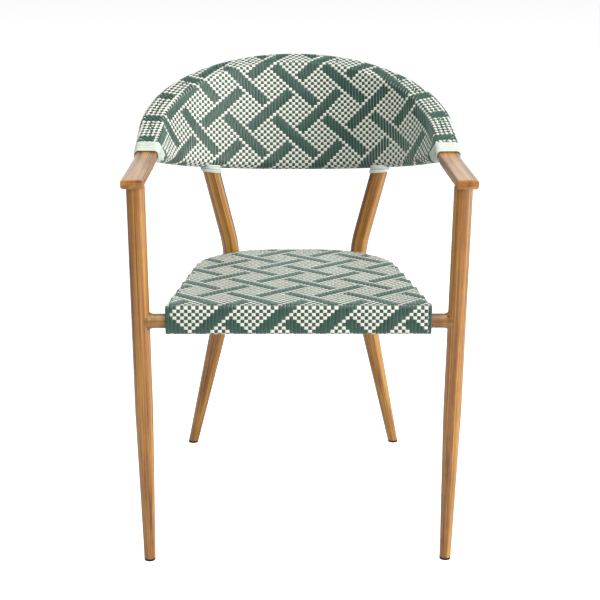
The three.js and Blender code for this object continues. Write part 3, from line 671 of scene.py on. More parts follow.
def front_stub_mesh(side, hand):
    start, end = front_stub_line(side)
    inward = unit(end - start)
    reaches, swells = [FRONT_LEG_RADIUS * 0.4], [1.0]
    for share in np.linspace(0, 1, WELD_STATIONS):
        reaches.append(FRONT_LEG_RADIUS - WELD_SIDE + share * WELD_LENGTH)
        swells.append(1 - math.sqrt(1 - (1 - share) ** 2))
    reaches.append(np.linalg.norm(end - start))
    sections = [round_section(FRONT_STUB_RADIUS + WELD_SIDE * swell,
                              FRONT_STUB_RADIUS + WELD_RISE * swell) for swell in [*swells, 0.0]]
    rings, grain = tube_rings([(start + inward * reach, inward) for reach in reaches],
                              sections, FRONT_STUB_PRINT + HAND_PRINT * side, (0, 0, 1),
                              reaches[0])
    return loft_mesh(f"{hand}_front_stub_tube", rings, grain)


def rear_stub_mesh(side, hand):
    start, end = rear_stub_line(side)
    path = [(start + (end - start) * share, unit(end - start)) for share in np.linspace(0, 1, 4)]
    rings, grain = tube_rings(path, [round_section(REAR_STUB_RADIUS)] * len(path),
                              REAR_STUB_PRINT + HAND_PRINT * side, (0, 0, 1))
    return loft_mesh(f"{hand}_rear_stub_tube", rings, grain)


# Weave pattern: columns count to the sitter's left, rows count down from the top. A white
# strand shows where it crosses over a green one.

BLOCK_CELLS = ({(p, q) for p in range(7) for q in range(6)}
               | {(p, q) for p in range(9, 15) for q in range(7)}
               | {(7, 0), (8, 0), (9, 7), (9, 8), (6, 6), (6, 7), (15, 6), (16, 6)})
REPEAT_COLUMNS = 16
REPEAT_ROWS = 18


def white_cells():
    """The traditional lattice of checked lozenges between plain bands, for one repeat."""
    cells = np.zeros((REPEAT_COLUMNS, REPEAT_ROWS), bool)
    for column in range(REPEAT_COLUMNS):
        for row in range(REPEAT_ROWS):
            if (column + row) % 2:
                continue
            p, q = (column + row) // 2, (row - column) // 2
            cells[column, row] = any((p - 8 * a - 9 * b, q + 8 * a - 9 * b) in BLOCK_CELLS
                                     for a in range(-4, 5) for b in range(-4, 5))
    return cells


WHITE = white_cells()


def white_over(column, row):
    return WHITE[column % REPEAT_COLUMNS, row % REPEAT_ROWS]


# Woven back: the outline that a strand takes round the bar and the lower rail together

def wrap_ring(length, rail_length, offset, angles):
    """Points of one wrap round the bar and the rail, and the direction out of each."""
    centre, _, across, up = hoop_frame(length)
    rail_centre, rail_along, _, _ = rail_frame(rail_length)
    lift = np.dot(rail_centre - centre, up) + BAR_THICKNESS / 2
    rail_centre = rail_centre - up * max(lift, 0.0)
    dx, dy = np.cos(angles)[:, None], np.sin(angles)[:, None]
    outward = across * dx + up * dy
    corner = (centre + across * np.sign(dx) * (BAR_WIDTH / 2 - BAR_CORNER)
              + up * np.sign(dy) * (BAR_THICKNESS / 2 - BAR_CORNER)
              + outward * (BAR_CORNER + offset))
    spoke = outward - rail_along * (outward @ rail_along)[:, None]
    spoke /= np.linalg.norm(spoke, axis=1)[:, None]
    tangent = rail_centre + spoke * (RAIL_RADIUS + offset)
    on_rail = ((tangent - corner) * outward).sum(1) > 0
    points = np.where(on_rail[:, None], tangent, corner)
    return points, np.where(on_rail[:, None], spoke, outward)


SLEEVE_OFFSET = 2.3
ROW_DATUM_LENGTHS = np.arange(-SLEEVE_HALF, SLEEVE_HALF + 0.1, SLEEVE_HALF / 150)


class SleeveSheet:
    """The sleeve's surface on the sitter's side or the rear side, by length along the hoop
    and distance from the middle of the bar's top."""

    def __init__(self, towards_front):
        # Angles run from up (a quarter turn) over the front or over the rear to straight down
        turn = (np.arange(WRAP_ANGLES) + 0.5) * math.pi / WRAP_ANGLES * WRAP_HALF_TURNS
        angles = math.pi / 2 + (turn if towards_front else -turn)
        rows = [self.half_ring(length, angles) for length in ROW_DATUM_LENGTHS]
        self.ends = [distance[np.argmin(points[:, 2])] for points, _, distance in rows]
        self.distances = np.arange(0.0, max(row[2][-1] for row in rows), SHEET_STEP)
        self.points, self.outward = [
            np.array([resampled(row[kind], row[2], self.distances) for row in rows])
            for kind in (0, 1)]

    def half_ring(self, length, angles):
        rail_length = rail_length_for(length / SLEEVE_HALF)
        points, outward = wrap_ring(length, rail_length, SLEEVE_OFFSET, angles)
        centre, _, _, up = hoop_frame(length)
        points = np.vstack([centre + up * (BAR_THICKNESS / 2 + SLEEVE_OFFSET), points])
        return points, np.vstack([up, outward]), travelled(points)

    def end_at(self, lengths):
        return np.interp(lengths, ROW_DATUM_LENGTHS, self.ends)

    def at(self, lengths, distances):
        """Points and outward directions, straight between the stored ones."""
        lengths = np.clip(lengths, ROW_DATUM_LENGTHS[0], ROW_DATUM_LENGTHS[-1] - 1e-6)
        row = (lengths - ROW_DATUM_LENGTHS[0]) / (ROW_DATUM_LENGTHS[1] - ROW_DATUM_LENGTHS[0])
        column = np.clip(distances, 0, self.distances[-1] - 1e-6) / SHEET_STEP
        r = np.minimum(row.astype(int), len(ROW_DATUM_LENGTHS) - 2)
        c = np.minimum(column.astype(int), len(self.distances) - 2)
        fr, fc = (row - r)[:, None], (column - c)[:, None]
        return [(table[r, c] * (1 - fc) + table[r, c + 1] * fc) * (1 - fr)
                + (table[r + 1, c] * (1 - fc) + table[r + 1, c + 1] * fc) * fr
                for table in (self.points, self.outward)]


# How the pattern lies on the back. For every eighth column: at each distance from the middle
# of the bar's top, the row and the length along the hoop. On the bar's top both kinds of
# strand run slantwise; down the wall they turn upright and level.
NET_DISTANCES = (-15, 16, 24, 40, 70, 120, 200)
NET_LAST_DISTANCE = 270.0
NET_REAR_PITCH = 5.6
NET = {
    -56: ((33.0, 39.9, 42.6, 52.2, 65.8, 73.1, 74.4),
      (-482, -504, -520, -569, -602, -609, -569)),
    -48: ((22.1, 30.8, 33.3, 40.4, 50.8, 59.8, 65.7),
      (-402, -438, -449, -485, -496, -507, -482)),
    -40: ((12.8, 20.7, 22.6, 26.5, 34.9, 46.7, 57.2),
      (-326, -360, -365, -373, -395, -405, -396)),
    -32: ((5.4, 12.4, 14.2, 17.6, 23.7, 34.1, 49.1),
      (-257, -285, -285, -289, -296, -308, -312)),
    -24: ((-0.3, 6.6, 8.2, 11.5, 17.2, 26.5, 41.8),
      (-197, -221, -221, -224, -225, -228, -232)),
    -16: ((-4.3, 2.2, 3.8, 6.9, 12.6, 21.9, 36.4),
      (-146, -161, -162, -163, -163, -164, -163)),
    -8: ((-6.5, -0.7, 0.9, 4.1, 9.8, 19.1, 33.7),
      (-95, -105, -107, -108, -107, -107, -107)),
    0: ((-8.0, -2.2, -0.7, 2.4, 8.1, 17.4, 31.9),
      (-49, -53, -55, -55, -54, -55, -54)),
    8: ((-8.3, -2.9, -1.5, 1.8, 7.4, 16.7, 31.3),
      (-3, -3, -4, -4, -3, -3, -3)),
    16: ((-8.0, -2.4, -0.9, 2.2, 7.8, 17.1, 31.9),
      (42, 46, 47, 48, 48, 48, 49)),
    24: ((-6.1, -0.7, 0.8, 3.9, 9.5, 19.0, 33.6),
      (89, 97, 98, 98, 97, 99, 101)),
    32: ((-3.7, 2.0, 3.6, 6.6, 12.2, 21.6, 36.3),
      (137, 150, 151, 152, 152, 154, 156)),
    40: ((0.0, 5.8, 7.4, 10.6, 16.3, 25.8, 40.7),
      (187, 208, 210, 211, 213, 218, 221)),
    48: ((4.8, 11.5, 13.0, 16.3, 22.5, 32.8, 48.6),
      (243, 269, 272, 276, 284, 298, 304)),
    56: ((11.2, 19.2, 21.1, 25.1, 33.5, 44.8, 56.3),
      (303, 340, 350, 361, 388, 414, 392)),
    64: ((20.3, 29.0, 31.9, 39.6, 52.9, 57.8, 64.8),
      (377, 418, 433, 484, 546, 537, 489)),
    72: ((29.8, 38.1, 42.8, 52.8, 67.4, 72.0, 73.8),
      (452, 487, 518, 587, 671, 666, 591)),
    80: ((37.3, 49.9, 54.4, 65.2, 80.7, 86.4, 83.1),
      (517, 579, 608, 683, 786, 797, 694)),
}
NET_FIRST_COLUMN = min(NET)
NET_SPACING = 8


def through_knots(values, place):
    """A smooth way through evenly spaced knots, carried on straight past both ends."""
    values = [2 * values[0] - values[1], *values, 2 * values[-1] - values[-2]]
    k = min(max(math.floor(place), 0), len(values) - 4)
    t = place - k
    a, b, c, d = values[k:k + 4]
    if t < 0:
        return b + (c - b) * t
    if t > 1:
        return c + (c - b) * (t - 1)
    return b + 0.5 * t * (c - a + t * (2 * a - 5 * b + 4 * c - d + t * (3 * (b - c) + d - a)))


class BackNet:
    """Rows and lengths along the hoop by distance from the bar's top, for any column. The
    sitter's side is plus. On the rear side each column leans so that it meets its own end
    under the rail."""

    def __init__(self):
        self.front, self.rear = SleeveSheet(True), SleeveSheet(False)
        self.made = {}

    def make(self, column):
        place = (column - NET_FIRST_COLUMN) / NET_SPACING
        rows, lengths = [[through_knots([NET[c][kind][k] for c in NET], place)
                          for k in range(len(NET_DISTANCES))] for kind in (0, 1)]
        span = (NET_LAST_DISTANCE - NET_DISTANCES[-1]) / (NET_DISTANCES[-1] - NET_DISTANCES[-2])
        rows.append(rows[-1] + (rows[-1] - rows[-2]) * span)
        lengths.append(lengths[-1])
        distances = [*NET_DISTANCES, NET_LAST_DISTANCE]
        steps = np.arange(NET_LAST_DISTANCE)
        below = steps > self.front.end_at(np.interp(steps, distances, lengths))
        front_end = float(np.argmax(below)) if below.any() else steps[-1]
        foot = float(np.interp(front_end, distances, lengths))
        rear_end = -float(self.rear.end_at(foot))
        rows.insert(0, rows[0] - (NET_DISTANCES[0] - rear_end) / NET_REAR_PITCH)
        return rows, [foot, *lengths], [rear_end, *distances], front_end

    def place(self, column, rows):
        """Lengths and distances of some rows of one column, and whether the sleeve has them."""
        if column not in self.made:
            self.made[column] = self.make(column)
        knots, lengths, distances, front_end = self.made[column]
        distance = np.interp(rows, knots, distances)
        inside = (rows > knots[0]) & (distance < front_end)
        return np.interp(distance, distances, lengths), distance, inside

    def on_sleeve(self, length, distance):
        """Points and outward directions on the sleeve, whichever side they lie on."""
        in_front = (distance >= 0)[:, None]
        return [np.where(in_front, front, rear) for front, rear in zip(
            self.front.at(length, np.maximum(distance, 0)),
            self.rear.at(length, np.maximum(-distance, 0)))]


# About how far a strand rises over a crossing, as far as thinning out its points goes
NEAR_RISE = 0.6


class Strand:
    """One strand's way: points, outward directions and how far it is lifted at each."""

    def __init__(self, points, outward, lift, closed=False):
        self.points, self.outward, self.lift = points, outward, lift
        self.closed = closed

    def only(self, kept, closed):
        return Strand(self.points[kept], self.outward[kept], self.lift[kept], closed)


def thinned(strand, tolerance=0.04, longest=25.0):
    """Leaves out points that lie straight between their neighbours."""
    place = strand.points + strand.outward * strand.lift[:, None] * NEAR_RISE
    kept = [0]
    for k in range(1, len(place) - 1):
        span = place[k + 1] - place[kept[-1]]
        size = np.linalg.norm(span)
        inner = place[kept[-1] + 1:k + 1] - place[kept[-1]]
        off = np.linalg.norm(np.cross(inner, span / max(size, 1e-9)), axis=1).max()
        if off > tolerance or size > longest:
            kept.append(k)
    return strand.only([*kept, len(place) - 1], strand.closed)


def split_where(strand, inside):
    """The stretches of a strand that lie outside what it must stay clear of, thinned."""
    strands, run = [], []
    for k, hidden in enumerate([*inside, True]):
        if not hidden:
            run.append(k)
            continue
        if len(run) > 2:
            whole = len(run) == len(strand.points)
            strands.append(thinned(strand.only(run, strand.closed and whole)))
        run = []
    return strands


def near_line(points, start, end, radius):
    axis = unit(end - start)
    along = (points - start) @ axis
    away = np.linalg.norm(points - start - along[:, None] * axis, axis=1)
    return (away < radius) & (along > 0) & (along < np.linalg.norm(end - start))


LEG_TOP_LENGTH = 60.0
LEG_OVERLAP = 0.5


def inside_rear_legs(points):
    hit = np.zeros(len(points), bool)
    for _, side in SIDES:
        centre, along, square = rear_leg_seat(side)
        below = (points - centre) @ square < -SADDLE_SHARE * RAIL_RADIUS
        hit |= below & near_line(points, centre - along * LEG_TOP_LENGTH, centre,
                                 REAR_LEG_RADIUS - LEG_OVERLAP)
    return hit


BACK_COLUMNS = np.arange(-64, 84)
BACK_ROWS = np.arange(-60, 120)
SAMPLES = (-0.25, 0.25)


def sampled(crossings):
    """Two places at each crossing, a quarter of the pitch before it and after it."""
    return np.sort(np.concatenate([crossings + share for share in SAMPLES]))


def lift_over(column, row, white):
    """How the strand of a colour lies at a crossing: plus one is over the other."""
    return 1.0 if white_over(column, row) == white else -1.0


def back_warps(net):
    strands = []
    for column in BACK_COLUMNS:
        fine = sampled(BACK_ROWS)
        length, distance, inside = net.place(column, fine)
        fine, length, distance = fine[inside], length[inside], distance[inside]
        if len(fine) < 4:
            continue
        lift = np.array([lift_over(column, round(row), False) for row in fine])
        points, outward = net.on_sleeve(length, distance)
        hidden = (np.abs(length) > SLEEVE_HALF) | inside_rear_legs(points)
        strands += split_where(Strand(points, outward, lift, True), hidden)
    return strands


def back_wefts(net):
    """The white strands of the back, those on the sitter's side and those on the rear."""
    both_sides = [], []
    fine = sampled(BACK_COLUMNS)
    found = [net.place(column, BACK_ROWS) for column in fine]
    for k, row in enumerate(BACK_ROWS):
        length, distance, inside = [np.array([part[kind][k] for part in found])
                                    for kind in range(3)]
        if inside.sum() < 3:
            continue
        lift = np.array([lift_over(round(column), row, True) for column in fine])
        points, outward = net.on_sleeve(length, distance)
        hidden = ~inside | (np.abs(length) > SLEEVE_HALF) | inside_rear_legs(points)
        for strands, away in zip(both_sides, (distance < 0, distance >= 0)):
            strands.extend(split_where(Strand(points, outward, lift), hidden | away))
    return both_sides


# Woven seat: rows and columns on the top, over the edge, down the wall and turned under

SEAT_COLUMN_PITCH = 6.06
SEAT_MIDDLE_COLUMN = 36
SEAT_MIDDLE_PLACE = -6.9
SEAT_ROW_PITCH = 5.976
SEAT_FIRST_ROW = 84.2
LAST_TOP_ROW = 12
APRON_ROW_PITCH = 5.55
APRON_ROW = 17
APRON_ROW_DROP = 27.2
FRONT_EDGE_SHIFT = {8: 0.8, 9: 1.5, 10: 2.7, 11: 4.5, 12: 7.0}
SMALLEST_EDGE_ROW_STEP = 4.5
LAST_COLUMN_INSET = 3.0
LAST_ROW_INSET = 3.0
LAST_APRON_ROW_INSET = 2.0
REAR_CORNER_TUCK = 6.0
APRON_END_REACH = 4.0
SIDE_BAND_OVERLAP = 6.0
SLANT_LIMIT = 0.2
SIDE_RIM = 7.4
STUB_CLEARANCE = 0.4
SEAT_SKIN = 1.4
EDGE_RADIUS = APRON_ROUNDING - SEAT_SKIN
EDGE_ARC = EDGE_RADIUS * math.pi / 2
WALL_STRAIGHT = APRON_HEIGHT - 2 * APRON_ROUNDING
EDGE_TOTAL = 2 * EDGE_ARC + WALL_STRAIGHT + TURN_UNDER
FRONT_CORNER_END = OUTLINE_LENGTH[CORNER_POINTS]
# Behind this place on the outline, green strands go over the edge and white ones end
CHANGE_OVER = next(OUTLINE_LENGTH[k] for k in range(CORNER_POINTS + 1, len(OUTLINE))
                   if OUTLINE_OUTWARD[k][1] > math.sin(math.radians(45)))


def over_edge(point, outward, distance):
    """A point of the skin and the direction out of it, at a distance past where the top
    begins to round over: round the edge, down the wall, round its foot and a little under."""
    straight = min(max(distance - EDGE_ARC, 0.0), WALL_STRAIGHT)
    under = max(distance - 2 * EDGE_ARC - WALL_STRAIGHT, 0.0)
    turn = (distance - straight - under) / EDGE_RADIUS
    level, up = math.sin(turn), math.cos(turn)
    reach = EDGE_RADIUS * (level - 1) - under - SEAT_SKIN
    down = EDGE_RADIUS * (1 - up) + straight + SEAT_SKIN
    return vec(*(point + outward * reach), -down), vec(*(outward * level), up)


def over_front(x, distance):
    return over_edge(vec(x, 0), vec(0, -1), distance)


def on_top(x, y):
    return vec(x, y, -SEAT_SKIN), vec(0, 0, 1)


def row_back(row):
    """How far behind the seat's front a row lies on the top."""
    return SEAT_FIRST_ROW - SEAT_ROW_PITCH * row - FRONT_EDGE_SHIFT.get(row, 0.0)


def front_distance(row):
    """A front row's distance past the start of the front edge's rounding."""
    if row <= LAST_TOP_ROW:
        return APRON_ROUNDING - row_back(row)
    if row == LAST_TOP_ROW + 1:
        above, below = front_distance(row - 1), front_distance(row + 1)
        return max((above + below) / 2, above + SMALLEST_EDGE_ROW_STEP)
    drop = APRON_ROW_DROP + (row - APRON_ROW) * APRON_ROW_PITCH
    return EDGE_ARC + drop - SEAT_SKIN - EDGE_RADIUS


def column_place(column):
    return SEAT_MIDDLE_PLACE + SEAT_COLUMN_PITCH * (column - SEAT_MIDDLE_COLUMN)


TOP_ROWS = range(LAST_TOP_ROW, -80, -1)
APRON_ROWS = range(LAST_TOP_ROW + 1, 26)
ROW_DISTANCES = {row: front_distance(row) for row in range(35, -81, -1)}
# Two places at each crossing, a quarter of the pitch before it and after it
ROW_CROSSINGS = [(row, here + (ROW_DISTANCES[row + step] - here) / 4)
                 for row, here in ROW_DISTANCES.items() for step in (1, -1)
                 if row + step in ROW_DISTANCES]
COLUMN_CROSSINGS = [(column, column_place(column + share))
                    for column in range(-4, 80) for share in SAMPLES]
SEAT_COLUMNS = [column for column in range(-2, 76)
                if abs(column_place(column)) <= SEAT_FRONT_HALF_WIDTH - LAST_COLUMN_INSET]


def rear_edge(column):
    """Where a column meets the seat's edge: length along the half outline, point and
    outward direction."""
    x = column_place(column)
    length = np.interp(-abs(x), -OUTLINE[CORNER_POINTS:, 0], OUTLINE_LENGTH[CORNER_POINTS:])
    return length, *outline_at(length, math.copysign(1.0, x))


def side_edge(back):
    """Where a row at a distance back meets the seat's side: length along the half outline."""
    return np.interp(back, OUTLINE[:, 1], OUTLINE_LENGTH)


def rear_row(column, level):
    """The row that a column crosses at a level of the rear wall."""
    back = SEAT_FIRST_ROW - rear_edge(column)[1][1] + APRON_ROUNDING
    return math.ceil(back / SEAT_ROW_PITCH) - level


def side_column(row, side, level):
    """The column that a row crosses at a level of a side wall."""
    x = outline_at(side_edge(row_back(row)), side)[0][0] - side * APRON_ROUNDING
    nearest = round((x - SEAT_MIDDLE_PLACE) / SEAT_COLUMN_PITCH)
    return SEAT_MIDDLE_COLUMN + nearest + int(side) * level


def rounding_start(edge, outward):
    """Where a strand running straight to the edge meets the start of its rounding."""
    return edge - APRON_ROUNDING / max(outward, SLANT_LIMIT)


def seat_strand(samples):
    points, outward, lift = [np.array(kept) for kept in zip(*samples)]
    return Strand(seat_to_part(points), seat_to_part(outward) - seat_to_part(np.zeros(3)), lift)


def clear_of_stubs(strands):
    """What the stubs leave of the strands."""
    kept = []
    for strand in strands:
        hit = np.zeros(len(strand.points), bool)
        for _, side in SIDES:
            for line, radius in ((front_stub_line, FRONT_STUB_RADIUS),
                                 (rear_stub_line, REAR_STUB_RADIUS)):
                hit |= near_line(strand.points, *line(side), radius + STUB_CLEARANCE)
        kept += split_where(strand, hit)
    return kept


def warp_samples(column):
    """One green strand of the seat, from under the front rail to under the rear one."""
    x = column_place(column)
    length, edge, outward = rear_edge(column)
    last = max(rounding_start(edge[1], outward[1]), APRON_ROUNDING)
    samples = []
    for row, distance in ROW_CROSSINGS:
        if distance > EDGE_TOTAL:
            continue
        if APRON_ROUNDING - distance > last:
            break
        place = over_front(x, distance) if distance > 0 else on_top(x, APRON_ROUNDING - distance)
        samples.append((*place, lift_over(column, row, False)))
    if length <= CHANGE_OVER:
        # Its end is tucked under the last white strand that it reaches
        return samples[:-2] + [(*held[:2], -1.0) for held in samples[-2:]]
    for k, distance in enumerate(np.arange(0, EDGE_TOTAL, SEAT_ROW_PITCH / 2)):
        lift = lift_over(column, rear_row(column, (k + 1) // 2), False)
        samples.append((*over_edge(edge, outward, distance), lift))
    return samples


def weft_samples(row):
    """One white strand of the seat, down one side wall, over the top and down the other."""
    back = row_back(row)
    length = side_edge(back)
    stop = EDGE_TOTAL if length < CHANGE_OVER else EDGE_ARC + REAR_CORNER_TUCK
    starts, walls = [], []
    for side in (-1.0, 1.0):
        edge, outward = outline_at(length, side)
        starts.append(rounding_start(abs(edge[0]), abs(outward[0])))
        # White alone goes over the rim, and the green strands begin below it
        wall = [(0.0, lift_over(side_column(row, side, 0), row, True)),
                (SIDE_RIM * 0.33, 0.0), (SIDE_RIM * 0.67, 0.0)]
        wall += [(distance, lift_over(side_column(row, side, k // 2 + 1), row, True))
                 for k, distance in enumerate(np.arange(SIDE_RIM, stop, SEAT_COLUMN_PITCH / 2))]
        walls.append([(*over_edge(edge, outward, distance), lift) for distance, lift in wall])
    top = [(*on_top(x, back), lift_over(column, row, True))
           for column, x in COLUMN_CROSSINGS if -starts[0] < x < starts[1]]
    return walls[0][::-1] + top + walls[1]


def apron_samples(row):
    """One white strand across the front apron, with its ends round the front corners."""
    distance = ROW_DISTANCES[row]
    front = [(*over_front(x, distance), lift_over(column, row, True))
             for column, x in COLUMN_CROSSINGS
             if abs(x) <= SEAT_FRONT_HALF_WIDTH - SEAT_FRONT_CORNER]
    left, right = [
        [(*over_edge(*outline_at(length, side), distance), -1.0)
         for length in np.linspace(OUTLINE_LENGTH[1], FRONT_CORNER_END + APRON_END_REACH, 6)]
        for side in (-1.0, 1.0)]
    return left[::-1] + front + right


def level_distance(level, pitch, rim):
    """How far past the start of the edge's rounding a level strand of a wall lies."""
    return rim + (level - 0.75) * pitch


def side_bands():
    """Green strands that run level along the seat's sides, over and under the white rows."""
    rows = [row for row in TOP_ROWS if FRONT_CORNER_END < side_edge(row_back(row)) < CHANGE_OVER]
    strands = []
    for level in range(1, int((EDGE_TOTAL - SIDE_RIM) / SEAT_COLUMN_PITCH + 0.3)):
        distance = level_distance(level, SEAT_COLUMN_PITCH, SIDE_RIM)
        for side in (-1.0, 1.0):
            places = [(FRONT_CORNER_END - SIDE_BAND_OVERLAP, 1.0)]
            for row in rows:
                lift = lift_over(side_column(row, side, level), row, False)
                places += [(side_edge(row_back(row) - share * SEAT_ROW_PITCH), lift)
                           for share in SAMPLES[::-1]]
            strands.append(seat_strand([(*over_edge(*outline_at(length, side), distance), lift)
                                        for length, lift in places]))
    return strands


def rear_bands():
    """White strands that run level round the seat's rear, over and under the green columns."""
    columns = [column for column in SEAT_COLUMNS if rear_edge(column)[0] > CHANGE_OVER]
    strands = []
    for level in range(1, int(EDGE_TOTAL / SEAT_ROW_PITCH + 0.6)):
        distance = level_distance(level, SEAT_ROW_PITCH, SEAT_ROW_PITCH / 2)
        strands.append(seat_strand([
            (*over_edge(*rear_edge(column + share)[1:], distance),
             lift_over(column, rear_row(column, level), True))
            for column in columns for share in SAMPLES]))
    return strands


def seat_warps():
    strands = [seat_strand(warp_samples(column)) for column in SEAT_COLUMNS]
    return clear_of_stubs(strands) + [thinned(strand) for strand in side_bands()]


def seat_wefts():
    samples = [weft_samples(row) for row in TOP_ROWS
               if row_back(row) <= SEAT_LENGTH - LAST_ROW_INSET]
    samples += [apron_samples(row) for row in APRON_ROWS
                if ROW_DISTANCES[row] < EDGE_TOTAL - LAST_APRON_ROW_INSET]
    return clear_of_stubs([seat_strand(kept) for kept in samples] + rear_bands())


# Bindings

ARM_BINDING_STEPS = 48
LEG_BINDING_STEPS = 40
LEG_BINDING_RADIUS = REAR_LEG_RADIUS + 1.4
LEG_BINDING_DROP = RAIL_RADIUS + SLEEVE_OFFSET - 5.5 + LEG_BINDING_PITCH / 2
RAIL_BINDING_SETBACK = 1.5


def wound_strand(turns, pitch, steps, spacing, place_at):
    """A strand wound in even turns, of which the first and the last lie square. It takes its
    points and outward directions from an angle and how far the turns have moved on."""
    found = [place_at(2 * math.pi * step / steps,
                      pitch * min(max(step / steps - 1.0, 0.0), turns - 2.0))
             for step in range(turns * steps + 1)]
    points, outward = [np.array(kept) for kept in zip(*found)]
    distance = travelled(points)
    places = np.arange(0, distance[-1], spacing)
    return Strand(resampled(points, distance, places), resampled(outward, distance, places),
                  np.zeros(len(places)))


def arm_binding_strand(side):
    """The hoop's binding leans back under the bar, where it takes in the rail's tip."""
    hoop_start = SLEEVE_HALF + BINDING_GAP + BINDING_PITCH / 2
    rail_start = SLEEVE_RAIL_HALF + BINDING_GAP + BINDING_PITCH / 2 + RAIL_BINDING_SETBACK
    rail_share = ((rail_length_to(RAIL_TIP_BACK) - rail_start)
                  / (ARM_BINDING_TURNS * BINDING_PITCH))

    def place_at(angle, moved):
        points, outward = wrap_ring(
            side * (hoop_start + moved), side * (rail_start + moved * rail_share),
            BINDING_OFFSET, np.array([angle + math.pi / ARM_BINDING_STEPS]))
        return points[0], outward[0]

    return wound_strand(ARM_BINDING_TURNS, BINDING_PITCH, ARM_BINDING_STEPS, 2.5, place_at)


def leg_binding_strand(side):
    """The leg's binding lies square to the rail, close under the sleeve."""
    centre, along, square = rear_leg_seat(side)
    _, _, across, up = frame_along(centre, along, vec(0, 1, 0))

    def place_at(angle, moved):
        spoke = across * math.cos(angle) + up * math.sin(angle)
        travel = LEG_BINDING_DROP + moved + LEG_BINDING_RADIUS * np.dot(spoke, square)
        return centre - along * travel / np.dot(along, square) + spoke * LEG_BINDING_RADIUS, spoke

    return wound_strand(LEG_BINDING_TURNS, LEG_BINDING_PITCH, LEG_BINDING_STEPS, 2.0, place_at)


# Geometry Nodes: a flat crowned strand along each guide line

def strand_tree():
    """The node group that turns guide lines into strands. Made once, used by every weave."""
    title = "Strands along guides"
    if title in bpy.data.node_groups:
        return bpy.data.node_groups[title]
    tree = bpy.data.node_groups.new(title, "GeometryNodeTree")
    for name, kind in (("Guides", "Geometry"), ("Width", "Float"), ("Thickness", "Float"),
                       ("Rise", "Float"), ("Facets", "Int"), ("Seed", "Int"),
                       ("Material", "Material")):
        tree.interface.new_socket(name, in_out="INPUT", socket_type="NodeSocket" + kind)
    tree.interface.new_socket("Strands", in_out="OUTPUT", socket_type="NodeSocketGeometry")
    given = add_node(tree, "NodeGroupInput").outputs
    curve = add_node(tree, "GeometryNodeMeshToCurve", Mesh=given["Guides"])
    outward = add_node(tree, "GeometryNodeInputNamedAttribute", data_type="FLOAT_VECTOR",
                       Name="outward")
    lift = add_node(tree, "GeometryNodeInputNamedAttribute", data_type="FLOAT", Name="lift")
    rise = add_node(tree, "ShaderNodeMath", operation="MULTIPLY", i0=lift, i1=given["Rise"])
    offset = add_node(tree, "ShaderNodeVectorMath", operation="SCALE", i0=outward, Scale=rise)
    lifted = add_node(tree, "GeometryNodeSetPosition", Geometry=curve, Offset=offset)
    facing = add_node(tree, "GeometryNodeSetCurveNormal", mode="FREE", Curve=lifted,
                      Normal=outward)
    spline = add_node(tree, "GeometryNodeSplineParameter").outputs["Length"]
    along = add_node(tree, "GeometryNodeStoreNamedAttribute", data_type="FLOAT", domain="POINT",
                     Geometry=facing, Name="along", Value=spline)
    chance = add_node(tree, "FunctionNodeRandomValue", data_type="FLOAT", Seed=given["Seed"])
    tone = add_node(tree, "GeometryNodeStoreNamedAttribute", data_type="FLOAT", domain="CURVE",
                    Geometry=along, Name="tone", Value=chance)
    ring = add_node(tree, "GeometryNodeCurvePrimitiveCircle", Resolution=given["Facets"],
                    Radius=0.5)
    # Turned so that two of its points lie at the edges of the strand
    turned = add_node(tree, "GeometryNodeTransform", Geometry=ring,
                      Rotation=(0.0, 0.0, math.pi / 2))
    place = add_node(tree, "GeometryNodeInputPosition")
    parts = add_node(tree, "ShaderNodeSeparateXYZ", Vector=place).outputs
    wide = add_node(tree, "ShaderNodeMath", operation="MULTIPLY", i0=parts["Y"],
                    i1=given["Width"])
    across = add_node(tree, "GeometryNodeStoreNamedAttribute", data_type="FLOAT", domain="POINT",
                      Geometry=turned, Name="across", Value=wide)
    # A flat strand's section is squarer than an ellipse: steep edges and a gentle crown
    side = add_node(tree, "ShaderNodeMath", operation="SIGN", i0=parts["X"])
    height = add_node(tree, "ShaderNodeMath", operation="ABSOLUTE", i0=parts["X"])
    for operation, other in (("MULTIPLY", 2.0), ("POWER", 0.4), ("MULTIPLY", given["Thickness"]),
                             ("MULTIPLY", 0.5), ("MULTIPLY", side)):
        height = add_node(tree, "ShaderNodeMath", operation=operation, i0=height, i1=other)
    section = add_node(tree, "ShaderNodeCombineXYZ", X=height, Y=wide)
    flat = add_node(tree, "GeometryNodeSetPosition", Geometry=across, Position=section)
    swept = add_node(tree, "GeometryNodeCurveToMesh", Curve=tone, Profile_Curve=flat,
                     Fill_Caps=True)
    smooth = add_node(tree, "GeometryNodeSetShadeSmooth", Geometry=swept)
    real = add_node(tree, "GeometryNodeRealizeInstances", Geometry=smooth)
    painted = add_node(tree, "GeometryNodeSetMaterial", Geometry=real, Material=given["Material"])
    add_node(tree, "NodeGroupOutput", Strands=painted)
    return tree


def guide_mesh(name, strands):
    """Guide lines as edges, with the outward direction and the lift at each point."""
    edges, first = [], 0
    for strand in strands:
        after = first + len(strand.lift)
        edges += [(k, k + 1) for k in range(first, after - 1)]
        if strand.closed:
            edges.append((after - 1, first))
        first = after
    mesh = bpy.data.meshes.new(name)
    points = np.concatenate([strand.points for strand in strands])
    mesh.from_pydata([tuple(p) for p in to_model(points)], edges, [])
    outward = np.concatenate([strand.outward for strand in strands])
    outward /= np.linalg.norm(outward, axis=1)[:, None]
    facing = mesh.attributes.new("outward", "FLOAT_VECTOR", "POINT")
    facing.data.foreach_set("vector", outward.reshape(-1))
    lifts = mesh.attributes.new("lift", "FLOAT", "POINT")
    lifts.data.foreach_set("value", np.concatenate([strand.lift for strand in strands]))
    return mesh


